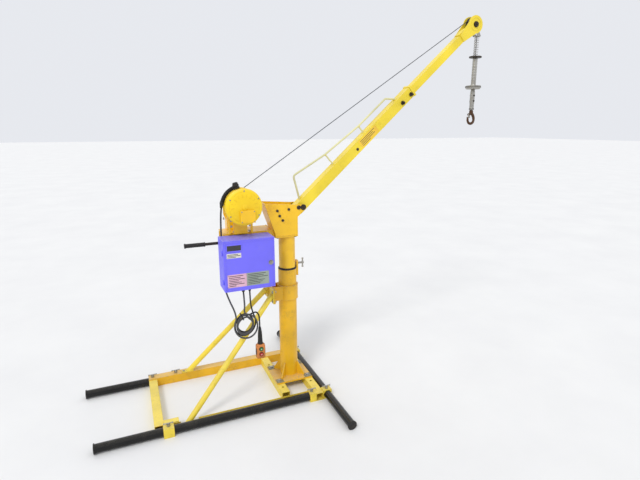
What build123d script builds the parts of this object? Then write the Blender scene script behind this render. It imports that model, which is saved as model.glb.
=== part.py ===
"""Small slewing hoist for building material: floor frame, column, turning mast,
telescopic boom, rope winch, control box with pendant, and a hook.

Millimetres. The origin is on the floor at the column's axis. +X runs along the boom,
+Z is up, and -Y is the side that carries the control box.
"""
from build123d import *
import math
import os

# Tubes of the floor frame
LEG_R = 24.15
LEG_WALL = 3.2
LEG_Z = 28.0
LEG_BORE_R = 24.55
CAP_R = 28.0
CAP_T = 5.0
SLEEVE = 56.0
CROSS = 50.0
CROSS_WALL = 3.0
REAR_X = -871.0
C1_X = -120.0
C2_X = 70.0
FAR_Y = 290.0
NEAR_Y = -278.0
NEAR_LEG_X = (-1174.0, 66.0)
FAR_LEG_X = (-1241.0, -560.0)
FAR_CLAMP_X = (-845.0, -700.0)
OUTRIGGER_X = 148.0
OUTRIGGER_HALF = 640.0
CLAMP_Y = 280.0
ANCHOR_X = 95.0
ANCHOR_Y = 150.0
ANCHOR_R = 7.0
FOOT_BOLT_SHARE = 0.6

# Column and mast
FOOT_Z = 60.0
COLUMN_R = 57.15
COLUMN_WALL = 5.0
COLUMN_TOP = 785.0
MAST_R = 50.8
MAST_WALL = 4.0
MAST_BOTTOM = 420.0
FLANGE_Z = 1000.0
FLANGE_T = 10.0
LUG_Z = 811.0
BRACKET_Z = (592.0, 682.0)
BRACKET_X = -118.0
BRACE_R = 16.85
BRACE_TOP = Vector(-124.0, 62.0, 642.0)
NEAR_FOOT = Vector(-697.0, -234.0, 10.0)
FAR_FOOT = Vector(-612.0, 280.0, 62.0)

# Head
HEAD_IN_Y = 52.0
HEAD_OUT_Y = 60.0
HEAD_OUTLINE = [(-156, 1213), (-90, 1022), (-90, 1010), (53, 1010), (53, 1120), (104, 1166),
                (106, 1181), (96, 1193), (62, 1196), (40, 1196)]
HEAD_FRONT_X = 20.0

# Boom
ROOT = Vector(75.0, 0.0, 1164.0)
BOOM_ANGLE = 42.28
OUTER = 64.0
OUTER_WALL = 4.0
OUTER_S = (-10.0, 1065.0)
INNER = 50.0
INNER_WALL = 3.0
INNER_S = (700.0, 1640.0)
SHEAVE_S = 1700.0
PIVOT_S = 20.0
PIVOT_R = 8.0
LOCK_ST = (-2.0, 20.0)
LOCK_R = 6.0
LUFF = 12.0
ROD_R = 6.0
ROD_ST = [(45, 30), (115, 165), (353, 114), (637, 86), (890, 84), (948, 30)]
POST_S = (353.0, 637.0)

# Winch
WINCH = Vector(-300.0, 0.0, 1219.0)
PLATE_Z = 1040.0
PLATE_T = 8.0
PLATE_X = -395.0
PLATE_Y = (-36.0, 118.0)
MODULE = 1.5
GEAR_DROP = 63.0
CASE_R = 62.0
CASE_Y = (56.0, 116.0)
CASE_WALL = 4.0
MOTOR_R = 98.0
COVER_R = 103.0
ROPE_R = 2.5
ROPE_LINE_R = 50.0
WRAP_R = 42.5
ROPE_LAP = 80.0
WRAP_END = 15.0
SHEAVE_R = 50.0
SHEAVE_BORE = 10.05

# Control box
BOX_X = (-431.0, -134.0)
BOX_Y = (-160.0, -36.0)
BOX_Z = (741.0, 1038.0)
SHEET = 2.0
DOOR_T = 14.0
WINDOW_X = (-412.0, -329.0)
WINDOW_Z = (978.0, 1013.0)
LATCH = Vector(-158.0, -174.0, 890.0)
GLAND_Y = -120.0
MOTOR_GLAND_X = -315.0
PENDANT_GLAND_X = -277.0

# Leads, hank and pendant
LEAD_R = 5.0
PENDANT_LEAD_R = 4.5
HANK = Vector(-322.0, -178.0, 530.0)
HANK_RING = 58.0
HANK_TUBE = 20.0
PENDANT = Vector(-238.0, -172.0, 391.0)
MOTOR_LEAD = [(-408.6, -100, 1242.1), (-416, -98, 1204), (-417, -80, 1150), (-411, -40, 1090),
              (-408, -23, 1010), (-407, -22, 880), (-407, -23, 765), (-403, -42, 700),
              (-392, -98, 652), (-372, -150, 612), (-357, -172, 588)]
MOTOR_TAIL = [(-328, -172, 605), (-320, -160, 634), (-315.5, -134, 668), (-315, -120, 715)]
PENDANT_LEAD = [(-277, -120, 711), (-278, -128, 676), (-283, -152, 640), (-290, -171, 602)]
PENDANT_TAIL = [(-276, -177, 594), (-256, -172, 597), (-241, -171, 578), (-238, -172, 545),
                (-238, -172, 500)]

# Hook and buffer, heights above the floor
HOOK_X = ROOT.X + SHEAVE_S * math.cos(math.radians(BOOM_ANGLE)) + WRAP_R
DISC_Z = 2106.0
DISC_R = 41.0
DISC_T = 10.0
SLEEVE_Z = (1936.0, 2105.7)
LOWER_DISC_R = 52.0
SWIVEL_Z = (1766.0, 1900.0)
HOOK_Z = 1700.0
BOW_R = 26.0
HOOK_R = 7.5

COS = math.cos(math.radians(BOOM_ANGLE))
SIN = math.sin(math.radians(BOOM_ANGLE))
BOOM = Plane(origin=ROOT, x_dir=(COS, 0, SIN), z_dir=(-SIN, 0, COS))
SHEAVE = ROOT + Vector(COS, 0, SIN) * SHEAVE_S
PIVOT = ROOT + Vector(COS, 0, SIN) * PIVOT_S
LOW = (Align.CENTER, Align.CENTER, Align.MIN)
DOOR_Y = BOX_Y[0] - DOOR_T


def box(x, y, z):
    """Box between the two values given for each axis."""
    size = [abs(a[1] - a[0]) for a in (x, y, z)]
    middle = [(a[0] + a[1]) / 2 for a in (x, y, z)]
    return Pos(*middle) * Box(*size)


def rod(start, direction, radius, length, inner=0.0):
    """Round bar, or a tube when an inner radius is given."""
    where = Plane(origin=start, z_dir=direction)
    bar = where * Cylinder(radius, length, align=LOW)
    if inner:
        bar -= where * Cylinder(inner, length, align=LOW)
    return bar


def square_tube(x, y, z, wall, along):
    """Square tube that is open at both ends along one axis (0, 1 or 2)."""
    inside = [(a[0] + wall, a[1] - wall) for a in (x, y, z)]
    inside[along] = ((x, y, z)[along][0] - 1, (x, y, z)[along][1] + 1)
    return box(x, y, z) - box(*inside)


def plate_xz(points, y0, y1):
    """Flat plate of an outline in X and Z, between two values of Y."""
    face = make_face(Polyline([(px, y0, pz) for px, pz in points], close=True))
    return extrude(face, amount=y1 - y0, dir=(0, 1, 0))


def hexagon(start, direction, across, length):
    """Hexagon head or nut."""
    where = Plane(origin=start, z_dir=direction)
    sides = where * RegularPolygon(across / math.sqrt(3), 6)
    return extrude(sides, amount=length, dir=direction)


def bolt(start, direction, radius, length, head=None):
    """Hexagon bolt whose shank runs along the direction, head behind the start."""
    back = Vector(*direction) * -1
    height = head or radius * 1.25
    return rod(start, direction, radius, length) + hexagon(start, back, radius * 3.2, height)


def lead(points, radius, name):
    """Cable of straight runs joined by tangent arcs."""
    route = [Vector(*p) for p in points]
    radii = []
    for before, here, after in zip(route, route[1:], route[2:]):
        run = min((here - before).length, (after - here).length)
        turn = math.radians((here - before).get_angle(after - here))
        radii.append(0.45 * run / math.tan(turn / 2))
    path = FilletPolyline(*route, radius=radii)
    start = Plane(origin=path @ 0, z_dir=path % 0)
    tube = sweep(start * Circle(radius), path=path)
    section = math.pi * radius ** 2 * path.length
    print(name, "length", round(path.length), "smallest radius", round(min(radii)),
          "volume ratio", round(tube.volume / section, 4))
    return tube


def gear(centre, teeth, y0, y1, bore, turn):
    """Spur gear on the Y axis; the turn puts a tooth at that angle from +X in XZ."""
    pitch_r = MODULE * teeth / 2
    base_r = pitch_r * math.cos(math.radians(20))
    tip_r = pitch_r + MODULE
    root_r = pitch_r - 1.25 * MODULE
    backlash = 0.22 / pitch_r
    half_tooth = math.pi / (2 * teeth) + math.tan(math.radians(20)) - math.radians(20) - backlash / 2
    flank = [max(root_r, base_r) + (tip_r - max(root_r, base_r)) * i / 3 for i in range(4)]
    points = []
    for tooth in range(teeth):
        middle = math.radians(turn) + 2 * math.pi * tooth / teeth
        side = []
        for radius in flank:
            roll = math.sqrt(max(0.0, (radius / base_r) ** 2 - 1))
            side.append((radius, half_tooth - (roll - math.atan(roll))))
        side.insert(0, (root_r, side[0][1]))
        ends = [(r, -a) for r, a in side] + [(r, a) for r, a in reversed(side)]
        points += [(centre.X + r * math.cos(middle + a), centre.Z + r * math.sin(middle + a))
                   for r, a in ends if r > 0]
    unique = [p for i, p in enumerate(points) if math.dist(p, points[i - 1]) > 1e-4]
    wheel = plate_xz(unique, y0, y1)
    return wheel - rod((centre.X, y0 - 1, centre.Z), (0, 1, 0), bore, y1 - y0 + 2)


# ---- floor frame ----

def far_rail():
    rail = square_tube((REAR_X, C2_X), (FAR_Y - 28, FAR_Y + 28), (0, SLEEVE), CROSS_WALL, 0)
    for x in FAR_CLAMP_X:
        rail -= rod((x, FAR_Y, 40), (0, 0, 1), 5.2, 30)
    return rail - rod((FAR_FOOT.X - 38, FAR_FOOT.Y, 50), (0, 0, 1), 4.2, 10)


def cross_members():
    """Rear cross-member, and the pair under the column with its anchor and foot bolt holes."""
    rear = square_tube((REAR_X, REAR_X + CROSS), (-250, FAR_Y - 28), (0, CROSS), CROSS_WALL, 1)
    inner = square_tube((C1_X, C1_X + CROSS), (-214, FAR_Y - 28), (0, CROSS), CROSS_WALL, 1)
    front = square_tube((C2_X, C2_X + CROSS), (-306, FAR_Y + 28), (0, CROSS), CROSS_WALL, 1)
    pair = [inner, front]
    for x in (-ANCHOR_X, ANCHOR_X):
        for y in (-ANCHOR_Y, ANCHOR_Y):
            pair = [p - rod((x, y, -1), (0, 0, 1), ANCHOR_R, CROSS + 2) for p in pair]
            pair = [p - rod((x, y * FOOT_BOLT_SHARE, 30), (0, 0, 1), 6.2, 30) for p in pair]
    return [rear] + pair


def near_rail():
    """Angle bar with the rear sleeve and front socket of the near leg."""
    rail = box((REAR_X + CROSS, C2_X), (-250, -214), (0, 4)) + \
        box((REAR_X + CROSS, C2_X), (-218, -214), (0, 24))
    rail -= box((C1_X, C1_X + CROSS), (-214.01, -200), (-1, 60))
    rail += box((-828, -772), (NEAR_Y - 28, NEAR_Y + 28), (0, SLEEVE))
    rail += box((31, C2_X), (NEAR_Y - 28, NEAR_Y + 28), (0, SLEEVE))
    rail += box((REAR_X + CROSS, -740), (-252, -214), (50, SLEEVE))
    rail -= box((NEAR_FOOT.X - 32, NEAR_FOOT.X + 68), (-218.01, -200), (4, 30))
    rail -= rod((NEAR_FOOT.X - 38, NEAR_FOOT.Y, -1), (0, 0, 1), 4.2, 10)
    rail -= rod((-900, NEAR_Y, LEG_Z), (1, 0, 0), LEG_BORE_R, 1000)
    rail -= rod((-800, NEAR_Y, 40), (0, 0, 1), 5.2, 30)
    rail -= rod((50, NEAR_Y, 40), (0, 0, 1), 5.2, 30)
    return rail


def outrigger_clamps():
    clamps = []
    for y in (-CLAMP_Y, CLAMP_Y):
        block = box((C2_X + CROSS, OUTRIGGER_X + 28), (y - 22, y + 22), (0, SLEEVE))
        block -= rod((OUTRIGGER_X, y - 30, LEG_Z), (0, 1, 0), LEG_BORE_R, 60)
        block -= rod((OUTRIGGER_X, y, 40), (0, 0, 1), 5.2, 30)
        clamps.append(block)
    return clamps


def leg(start, direction, length, capped_ends):
    """Black tube closed by end plugs whose rims stand on the floor."""
    tube = rod(start, direction, LEG_R, length, LEG_R - LEG_WALL)
    along = Vector(*direction)
    for end in (0, 1):
        rim = CAP_R if end in capped_ends else LEG_R
        inward = 1 if end == 0 else -1
        at = Vector(*start) + along * (length * end)
        tube += rod(at, along * inward, rim, CAP_T)
        tube += rod(at, along * inward, LEG_R - LEG_WALL, 30)
    return tube


def frame_bolts():
    """Clamp screws of the sleeves, foot bolts and brace bolts."""
    parts = []
    clamp = [(-800, NEAR_Y), (50, NEAR_Y), (FAR_CLAMP_X[0], FAR_Y), (FAR_CLAMP_X[1], FAR_Y),
             (OUTRIGGER_X, -CLAMP_Y), (OUTRIGGER_X, CLAMP_Y)]
    for x, y in clamp:
        parts.append(rod((x, y, LEG_Z + LEG_R + 0.3), (0, 0, 1), 5.0, 12)
                     + hexagon((x, y, 62), (0, 0, 1), 17, 8))
    for x in (-ANCHOR_X, ANCHOR_X):
        for y in (-ANCHOR_Y * FOOT_BOLT_SHARE, ANCHOR_Y * FOOT_BOLT_SHARE):
            parts.append(bolt((x, y, FOOT_Z), (0, 0, -1), 6.0, 25))
    for side in (-1, 1):
        for z in (BRACKET_Z[0] + 14, BRACKET_Z[1] - 14):
            parts.append(bolt((BRACKET_X - 6, side * (BRACE_TOP.Y + 20), z), (1, 0, 0), 4.0, 22))
    parts.append(bolt((NEAR_FOOT.X - 38, NEAR_FOOT.Y, NEAR_FOOT.Z), (0, 0, -1), 4.0, 9.9))
    parts.append(bolt((FAR_FOOT.X - 38, FAR_FOOT.Y, FAR_FOOT.Z), (0, 0, -1), 4.0, 9))
    return parts


def brace(foot, side):
    """Round brace with a foot plate and a top plate."""
    top = Vector(BRACE_TOP.X, side * BRACE_TOP.Y, BRACE_TOP.Z)
    run = top - foot
    length = run.length + 200
    tube = rod(foot - run.normalized() * 100, run, BRACE_R, length, BRACE_R - 2.6)
    tube &= box((-1000, BRACE_TOP.X), (-400, 400), (foot.Z, 900))
    tube += box((foot.X - 50, foot.X + 26), (foot.Y - 15.5, foot.Y + 15.5), (foot.Z - 6, foot.Z))
    plate_y = sorted((side * (BRACE_TOP.Y - 28), side * (BRACE_TOP.Y + 28)))
    tube += box((BRACE_TOP.X, BRACKET_X), plate_y, BRACKET_Z)
    for z in (BRACKET_Z[0] + 14, BRACKET_Z[1] - 14):
        tube -= rod((BRACE_TOP.X - 5, side * (BRACE_TOP.Y + 20), z), (1, 0, 0), 4.2, 20)
    return tube - rod((foot.X - 38, foot.Y, foot.Z - 9), (0, 0, 1), 4.2, 12)


# ---- column and mast ----

def column():
    """Column tube with its foot plate, gussets, brace bracket and lock lug."""
    body = rod((0, 0, FOOT_Z), (0, 0, 1), COLUMN_R, COLUMN_TOP - FOOT_Z)
    body += box((C1_X, C2_X + CROSS), (-115, 115), (CROSS, FOOT_Z))
    for turn in range(4):
        web = plate_xz([(55, FOOT_Z), (110, FOOT_Z), (110, FOOT_Z + 12), (63, 150), (55, 150)], -4, 4)
        body += Rot(0, 0, 45 + 90 * turn) * web
    low, high = BRACKET_Z
    body += rod((0, 0, low), (0, 0, 1), COLUMN_R + 8, high - low)
    body += box((BRACKET_X, BRACKET_X + 8), (-92, 92), (low, high))
    for y in (-46.0, 38.0):
        body += box((BRACKET_X, -30), (y, y + 8), (low, high))
    body += box((50, 69), (-14, 14), (735, COLUMN_TOP))
    body += box((58, 69), (-14, 14), (COLUMN_TOP, 832))
    body -= rod((0, 0, CROSS - 1), (0, 0, 1), COLUMN_R - COLUMN_WALL, COLUMN_TOP)
    body -= rod((50, 0, LUG_Z), (1, 0, 0), 6.05, 30)
    for x in (-ANCHOR_X, ANCHOR_X):
        for y in (-ANCHOR_Y * FOOT_BOLT_SHARE, ANCHOR_Y * FOOT_BOLT_SHARE):
            body -= rod((x, y, CROSS - 1), (0, 0, 1), 6.2, 12)
    for side in (-1, 1):
        for z in (low + 14, high - 14):
            body -= rod((BRACKET_X - 1, side * (BRACE_TOP.Y + 20), z), (1, 0, 0), 4.2, 12)
    return body


def slew_bushes():
    inner = COLUMN_R - COLUMN_WALL
    rings = [rod((0, 0, z), (0, 0, 1), inner, h, MAST_R + 0.04)
             for z, h in ((705.0, 78.0), (430.0, 60.0))]
    rings.append(rod((0, 0, MAST_BOTTOM - 20), (0, 0, 1), inner, 19.7, 20))
    return rings


def slew_lock_screw():
    screw = rod((MAST_R + 0.4, 0, LUG_Z), (1, 0, 0), 6.0, 50)
    screw += rod((98, 0, LUG_Z), (1, 0, 0), 8.5, 12)
    return screw + rod((104, 0, LUG_Z - 24), (0, 0, 1), 4.0, 48)


def mast_tube():
    tube = rod((0, 0, MAST_BOTTOM), (0, 0, 1), MAST_R, FLANGE_Z - MAST_BOTTOM, MAST_R - MAST_WALL)
    flange = box((-90, 53), (-HEAD_OUT_Y, HEAD_OUT_Y), (FLANGE_Z, FLANGE_Z + FLANGE_T))
    flange -= rod((0, 0, FLANGE_Z - 1), (0, 0, 1), 30, 20)
    for x, y in head_bolt_places():
        flange -= rod((x, y, FLANGE_Z - 1), (0, 0, 1), 5.2, 12)
    return tube + flange


def head_bolt_places():
    return [(x, y) for x in (-72, 42) for y in (-42, 42)]


def head_side_plates():
    """Two side plates with the pivot hole and the curved slot of the locking bolt."""
    plates = []
    reach = math.dist(LOCK_ST, (PIVOT_S, 0.0))
    lock_turn = math.degrees(math.atan2(LOCK_ST[1], LOCK_ST[0] - PIVOT_S)) + BOOM_ANGLE
    for y in (-HEAD_OUT_Y, HEAD_IN_Y):
        plate = plate_xz(HEAD_OUTLINE, y, y + 8)
        plate -= rod((PIVOT.X, y - 1, PIVOT.Z), (0, 1, 0), PIVOT_R + 0.05, 10)
        steps = 12
        for step in range(steps + 1):
            angle = math.radians(lock_turn - LUFF + 2 * LUFF * step / steps)
            at = (PIVOT.X + reach * math.cos(angle), y - 1, PIVOT.Z + reach * math.sin(angle))
            plate -= rod(at, (0, 1, 0), LOCK_R + 0.4, 10)
        for x, z in side_bolt_places():
            plate -= rod((x, y - 1, z), (0, 1, 0), 4.2, 10)
        plates.append(plate)
    return plates


def side_bolt_places():
    return [(-76, 1166), (-62, 1134), (-43, 1106), (-4, 1170)]


def head_frame():
    """Bottom, front and slanted back plates between the side plates, and spacer tubes."""
    inside = (-HEAD_IN_Y, HEAD_IN_Y)
    body = box((-90, 53), inside, (1010, 1018))
    body += box((HEAD_FRONT_X, HEAD_FRONT_X + 8), inside, (1018, 1150))
    body += plate_xz([(-90, 1018), (-90, 1022), (-156, 1213), (-148, 1213), (-82, 1022), (-82, 1018)],
                     *inside)
    for x, y in head_bolt_places():
        body -= rod((x, y, 1009), (0, 0, 1), 5.2, 10)
    spacers = [rod((x, -HEAD_IN_Y, z), (0, 1, 0), 9, 2 * HEAD_IN_Y, 4.0) for x, z in side_bolt_places()]
    return [body] + spacers


def head_bolts():
    parts = []
    for x, z in side_bolt_places():
        parts.append(bolt((x, -HEAD_OUT_Y, z), (0, 1, 0), 4.0, 18))
        parts.append(bolt((x, HEAD_OUT_Y, z), (0, -1, 0), 4.0, 18))
    for x, y in head_bolt_places():
        parts.append(bolt((x, y, 1018), (0, 0, -1), 5.0, 24) + hexagon((x, y, 1000), (0, 0, -1), 14, 6))
    return parts


def winch_platform():
    """Bent plate behind the head, with the slewing handle's bar welded below it."""
    y0, y1 = PLATE_Y
    plate = box((PLATE_X, -80), (y0, y1), (PLATE_Z, PLATE_Z + PLATE_T))
    plate += box((PLATE_X, -80), (y0, y0 + 5), (PLATE_Z - 42, PLATE_Z))
    plate += box((PLATE_X, -80), (y1 - 5, y1), (PLATE_Z - 42, PLATE_Z))
    keep_out = [(-90, 990), (-90, 1022), (-156, 1213), (100, 1213), (100, 990)]
    plate -= plate_xz(keep_out, -200, 200)
    plate += rod((-614, 0, 990), (1, 0, 0), 8, 330)
    for x in (PLATE_X, -310.0):
        plate += box((x, x + 8), (-16, 16), (976, PLATE_Z))
    return plate


# ---- winch ----

def winch_stand():
    """Bearing plate of the motor side, with its foot."""
    w = WINCH
    plate = box((w.X - 40, w.X + 40), (-58, -50), (PLATE_Z + PLATE_T, w.Z))
    plate += rod((w.X, -58, w.Z), (0, 1, 0), 62, 8)
    foot = box((w.X - 40, w.X + 40), (-58, -22), (PLATE_Z + PLATE_T, PLATE_Z + PLATE_T + 6))
    stand = plate + foot
    for x in (w.X - 72, w.X + 60):
        leg_plate = box((x, x + 12), (-58, -50), (PLATE_Z + PLATE_T, w.Z - 60))
        leg_plate += box((x, x + 12), (-58, -22), (PLATE_Z + PLATE_T, PLATE_Z + PLATE_T + 6))
        stand += leg_plate
    stand += box((w.X - 72, w.X + 72), (-58, -50), (w.Z - 75, w.Z - 45))
    return stand - rod((w.X, -60, w.Z), (0, 1, 0), 24, 12)


def motor_casing():
    w = WINCH
    shell = rod((w.X, -150, w.Z), (0, 1, 0), MOTOR_R, 92, MOTOR_R - 5)
    shell += rod((w.X, -62, w.Z), (0, 1, 0), MOTOR_R, 4)
    shell += rod((w.X, -150, w.Z), (0, 1, 0), MOTOR_R, 4)
    for turn in range(4):
        rib = box((69.9, MOTOR_R - 4), (-138, -78), (-4, 4))
        shell += Pos(w.X, 0, w.Z) * (Rot(0, 45 + 90 * turn, 0) * rib)
    shell -= rod((w.X, -138, w.Z), (0, 1, 0), 70, 60)
    shell -= rod((w.X, -151, w.Z), (0, 1, 0), 16, 6)
    return shell - rod((w.X, -63, w.Z), (0, 1, 0), 24, 6)


def motor_cover():
    """Domed end cover with the terminal box on it."""
    w = WINCH
    dome = rod((w.X, -176, w.Z), (0, 1, 0), COVER_R, 26)
    dome = fillet(dome.edges().filter_by(GeomType.CIRCLE).group_by(Axis.Y)[0], 14)
    dome -= rod((w.X, -172, w.Z), (0, 1, 0), MOTOR_R - 5, 23)
    terminal = box((w.X - 28, w.X + 52), (-196, -174), (w.Z - 81, w.Z - 15))
    return dome + fillet(terminal.edges().filter_by(Axis.Y), 6)


def stator():
    w = WINCH
    ring = rod((w.X, -138, w.Z), (0, 1, 0), 70, 60, 32.6)
    for start in (-146, -78):
        ring += rod((w.X, start, w.Z), (0, 1, 0), 62, 8, 38)
    return ring


def rotor():
    """Motor shaft with its laminations, brake disc and pinion."""
    w = WINCH
    shaft = rod((w.X, -160, w.Z), (0, 1, 0), 8, 270)
    shaft += rod((w.X, -138, w.Z), (0, 1, 0), 32, 60)
    shaft += rod((w.X, -160, w.Z), (0, 1, 0), 30, 6)
    return shaft + gear(w, 18, 92, 106, 5, 90)


def countershaft():
    at = WINCH - Vector(0, 0, GEAR_DROP)
    shaft = rod((at.X, 60.5, at.Z), (0, 1, 0), 8, 51)
    wheel = gear(at, 66, 92.5, 105.5, 6, 90 + 180 / 66)
    return shaft + wheel + gear(at, 20, 63, 84, 6, 90)


def drum():
    """Rope drum with its flanges and hollow shaft."""
    w = WINCH
    body = rod((w.X, -56, w.Z), (0, 1, 0), 20, 120)
    body += rod((w.X, -46, w.Z), (0, 1, 0), 36, 92)
    for y in (-49.0, 45.0):
        body += rod((w.X, y, w.Z), (0, 1, 0), 78, 4)
    body -= rod((w.X, -60, w.Z), (0, 1, 0), 12, 130)
    return body


def drum_rope():
    return rod((WINCH.X, -45, WINCH.Z), (0, 1, 0), ROPE_LINE_R - ROPE_R - 0.3, 90, 36)


def drum_gear():
    hub = rod((WINCH.X, 64, WINCH.Z), (0, 1, 0), 24, 22, 12)
    return hub + gear(WINCH, 64, 64.5, 82, 20, 90 + 180 / 64)


def gear_case():
    """Gear housing of two shells with four feet."""
    w = WINCH
    y0, y1 = CASE_Y
    drop = w.Z - GEAR_DROP

    def slab(radius, a, b):
        hull = rod((w.X, a, w.Z), (0, 1, 0), radius, b - a)
        hull += rod((w.X, a, drop), (0, 1, 0), radius, b - a)
        return hull + box((w.X - radius, w.X + radius), (a, b), (drop, w.Z))

    case = slab(CASE_R, y0, y1) + slab(CASE_R + 7, 84, 90)
    case += box((w.X - 55, w.X + 55), (y0, y1), (PLATE_Z + PLATE_T, drop))
    case -= slab(CASE_R - CASE_WALL, y0 + CASE_WALL, y1 - CASE_WALL)
    case -= rod((w.X, y0 - 1, w.Z), (0, 1, 0), 24, CASE_WALL + 2)
    return case


def shaft_bearings():
    """Bearing rings of the drum shaft, motor shaft and countershaft."""
    w = WINCH
    at = w - Vector(0, 0, GEAR_DROP)
    y0, y1 = CASE_Y
    rings = [rod((w.X, -56, w.Z), (0, 1, 0), 24, 6, 20.03),
             rod((w.X, y0, w.Z), (0, 1, 0), 24, CASE_WALL, 20.03),
             rod((w.X, -150, w.Z), (0, 1, 0), 16, 8, 8.03),
             rod((w.X, 107, w.Z), (0, 1, 0), 16, 5, 8.03)]
    rings.append(rod((at.X, 107, at.Z), (0, 1, 0), 16, 5, 8.03))
    rings.append(rod((at.X, 60, at.Z), (0, 1, 0), 16, 2.5, 8.03))
    return rings


# ---- control box ----

def control_box():
    shell = box(BOX_X, BOX_Y, BOX_Z)
    shell -= box((BOX_X[0] + SHEET, BOX_X[1] - SHEET), (BOX_Y[0] - 1, BOX_Y[1] - SHEET),
                 (BOX_Z[0] + SHEET, BOX_Z[1] - SHEET))
    shell += box((BOX_X[1] - 10, BOX_X[1]), (BOX_Y[0], BOX_Y[0] + SHEET), BOX_Z)
    for z in (785.0, 955.0):
        shell += rod((BOX_X[0] - 5, BOX_Y[0] - 2, z), (0, 0, 1), 4.5, 14)
        shell += box((BOX_X[0] - 6, BOX_X[0] + 1), (BOX_Y[0] + 0.5, BOX_Y[0] + 5), (z, z + 14))
    for x in (MOTOR_GLAND_X, PENDANT_GLAND_X):
        shell -= rod((x, GLAND_Y, BOX_Z[0] - 1), (0, 0, 1), 8, 4)
    return shell


def box_door():
    door = box(BOX_X, (DOOR_Y, BOX_Y[0] - 0.3), BOX_Z)
    door = fillet(door.edges().filter_by(Axis.Z).group_by(Axis.Y)[0], 3)
    door -= box((BOX_X[0] + 2.5, BOX_X[1] - 2.5), (DOOR_Y + 2.5, BOX_Y[0]),
                (BOX_Z[0] + 2.5, BOX_Z[1] - 2.5))
    door -= box(WINDOW_X, (DOOR_Y - 1, DOOR_Y + 4), WINDOW_Z)
    door -= rod((LATCH.X, DOOR_Y - 1, LATCH.Z), (0, 1, 0), 4.06, 5)
    for z in (799.4, 969.4):
        door += rod((BOX_X[0] - 5, BOX_Y[0] - 2, z), (0, 0, 1), 4.5, 14)
        door += box((BOX_X[0] - 6, BOX_X[0] + 2), (BOX_Y[0] - 6.5, BOX_Y[0] - 3), (z, z + 14))
    return door


def door_window():
    return box(WINDOW_X, (DOOR_Y + 0.8, DOOR_Y + 2.5), WINDOW_Z)


def door_latch():
    knob = rod((LATCH.X, DOOR_Y - 0.3, LATCH.Z), (0, -1, 0), 11, 7)
    knob += box((LATCH.X - 2.5, LATCH.X + 2.5), (DOOR_Y - 14, DOOR_Y - 7), (LATCH.Z - 9, LATCH.Z + 9))
    knob += rod((LATCH.X, DOOR_Y - 1, LATCH.Z), (0, 1, 0), 4.0, 22)
    return knob + box((LATCH.X - 6, LATCH.X + 6), (BOX_Y[0] + 3, BOX_Y[0] + 6), (LATCH.Z - 19, LATCH.Z + 6))


def control_gear():
    """Mounting plate with the contactors, transformer and terminal rail."""
    back = BOX_Y[1] - SHEET
    parts = box((BOX_X[0] + 20, BOX_X[1] - 20), (back - 6, back), (BOX_Z[0] + 20, BOX_Z[1] - 20))
    for x in (-395.0, -335.0, -275.0):
        parts += box((x, x + 45), (back - 80, back - 6), (920, 1000))
    parts += box((-225, -165), (back - 75, back - 6), (900, 990))
    return parts + box((-400, -180), (back - 40, back - 6), (790, 825))


def cable_glands():
    """Two box glands, and the motor gland with its thick conduit round the casing."""
    glands = []
    for x, radius, foot in ((MOTOR_GLAND_X, 14.0, 715.0), (PENDANT_GLAND_X, 11.0, 711.0)):
        body = hexagon((x, GLAND_Y, BOX_Z[0] - 8), (0, 0, 1), radius * 1.9, 8)
        neck = Plane(origin=(x, GLAND_Y, foot)) * Cone(radius * 0.55, radius * 0.8,
                                                       BOX_Z[0] - 8 - foot, align=LOW)
        inside = rod((x, GLAND_Y, BOX_Z[0]), (0, 0, 1), 7.9, 12)
        glands.append(body + neck + inside)
    ring = Pos(WINCH.X, -100, WINCH.Z) * Rot(90, 0, 0) * Torus(MOTOR_R + 13, 12)
    near, far = [(math.cos(math.radians(a)) * 400, math.sin(math.radians(a)) * 400) for a in (108, 168)]
    wedge = plate_xz([(WINCH.X, WINCH.Z), (WINCH.X + near[0], WINCH.Z + near[1]),
                      (WINCH.X - 500, WINCH.Z + 400), (WINCH.X + far[0], WINCH.Z + far[1])], -130, -70)
    conduit = ring & wedge
    turn = math.radians(104)
    boss = rod((WINCH.X + 100 * math.cos(turn), -100, WINCH.Z + 100 * math.sin(turn)),
               (math.cos(turn), 0, math.sin(turn)), 17, 34)
    boss -= rod((WINCH.X, -100 - 60, WINCH.Z), (0, 1, 0), MOTOR_R, 120)
    glands.append(conduit + boss)
    return glands


def lead_hank():
    """Outer shape of the tied hank of spare lead."""
    return Pos(*HANK) * Rot(90, 0, 0) * Torus(HANK_RING, HANK_TUBE)


def pendant_boot():
    where = Plane(origin=PENDANT)
    boot = where * Cylinder(15, 70, align=LOW)
    boot += Plane(origin=PENDANT + Vector(0, 0, 70)) * Cone(15, 8, 39, align=LOW)
    return boot


def pendant_body():
    p = PENDANT
    body = box((p.X - 27, p.X + 27), (p.Y - 19, p.Y + 19), (p.Z - 92, p.Z))
    body = fillet(body.edges().filter_by(Axis.Z), 9)
    for drop in (28, 62):
        body -= rod((p.X, p.Y - 20, p.Z - drop), (0, 1, 0), 10.3, 15)
    return body


def pendant_button(drop):
    p = PENDANT
    return rod((p.X, p.Y - 25, p.Z - drop), (0, 1, 0), 10, 12)


def handle_grip():
    grip = rod((-617, 0, 990), (1, 0, 0), 12.5, 117)
    grip = fillet(grip.edges().filter_by(GeomType.CIRCLE), 3)
    return grip - rod((-614, 0, 990), (1, 0, 0), 8, 130)


# ---- boom ----

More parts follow.
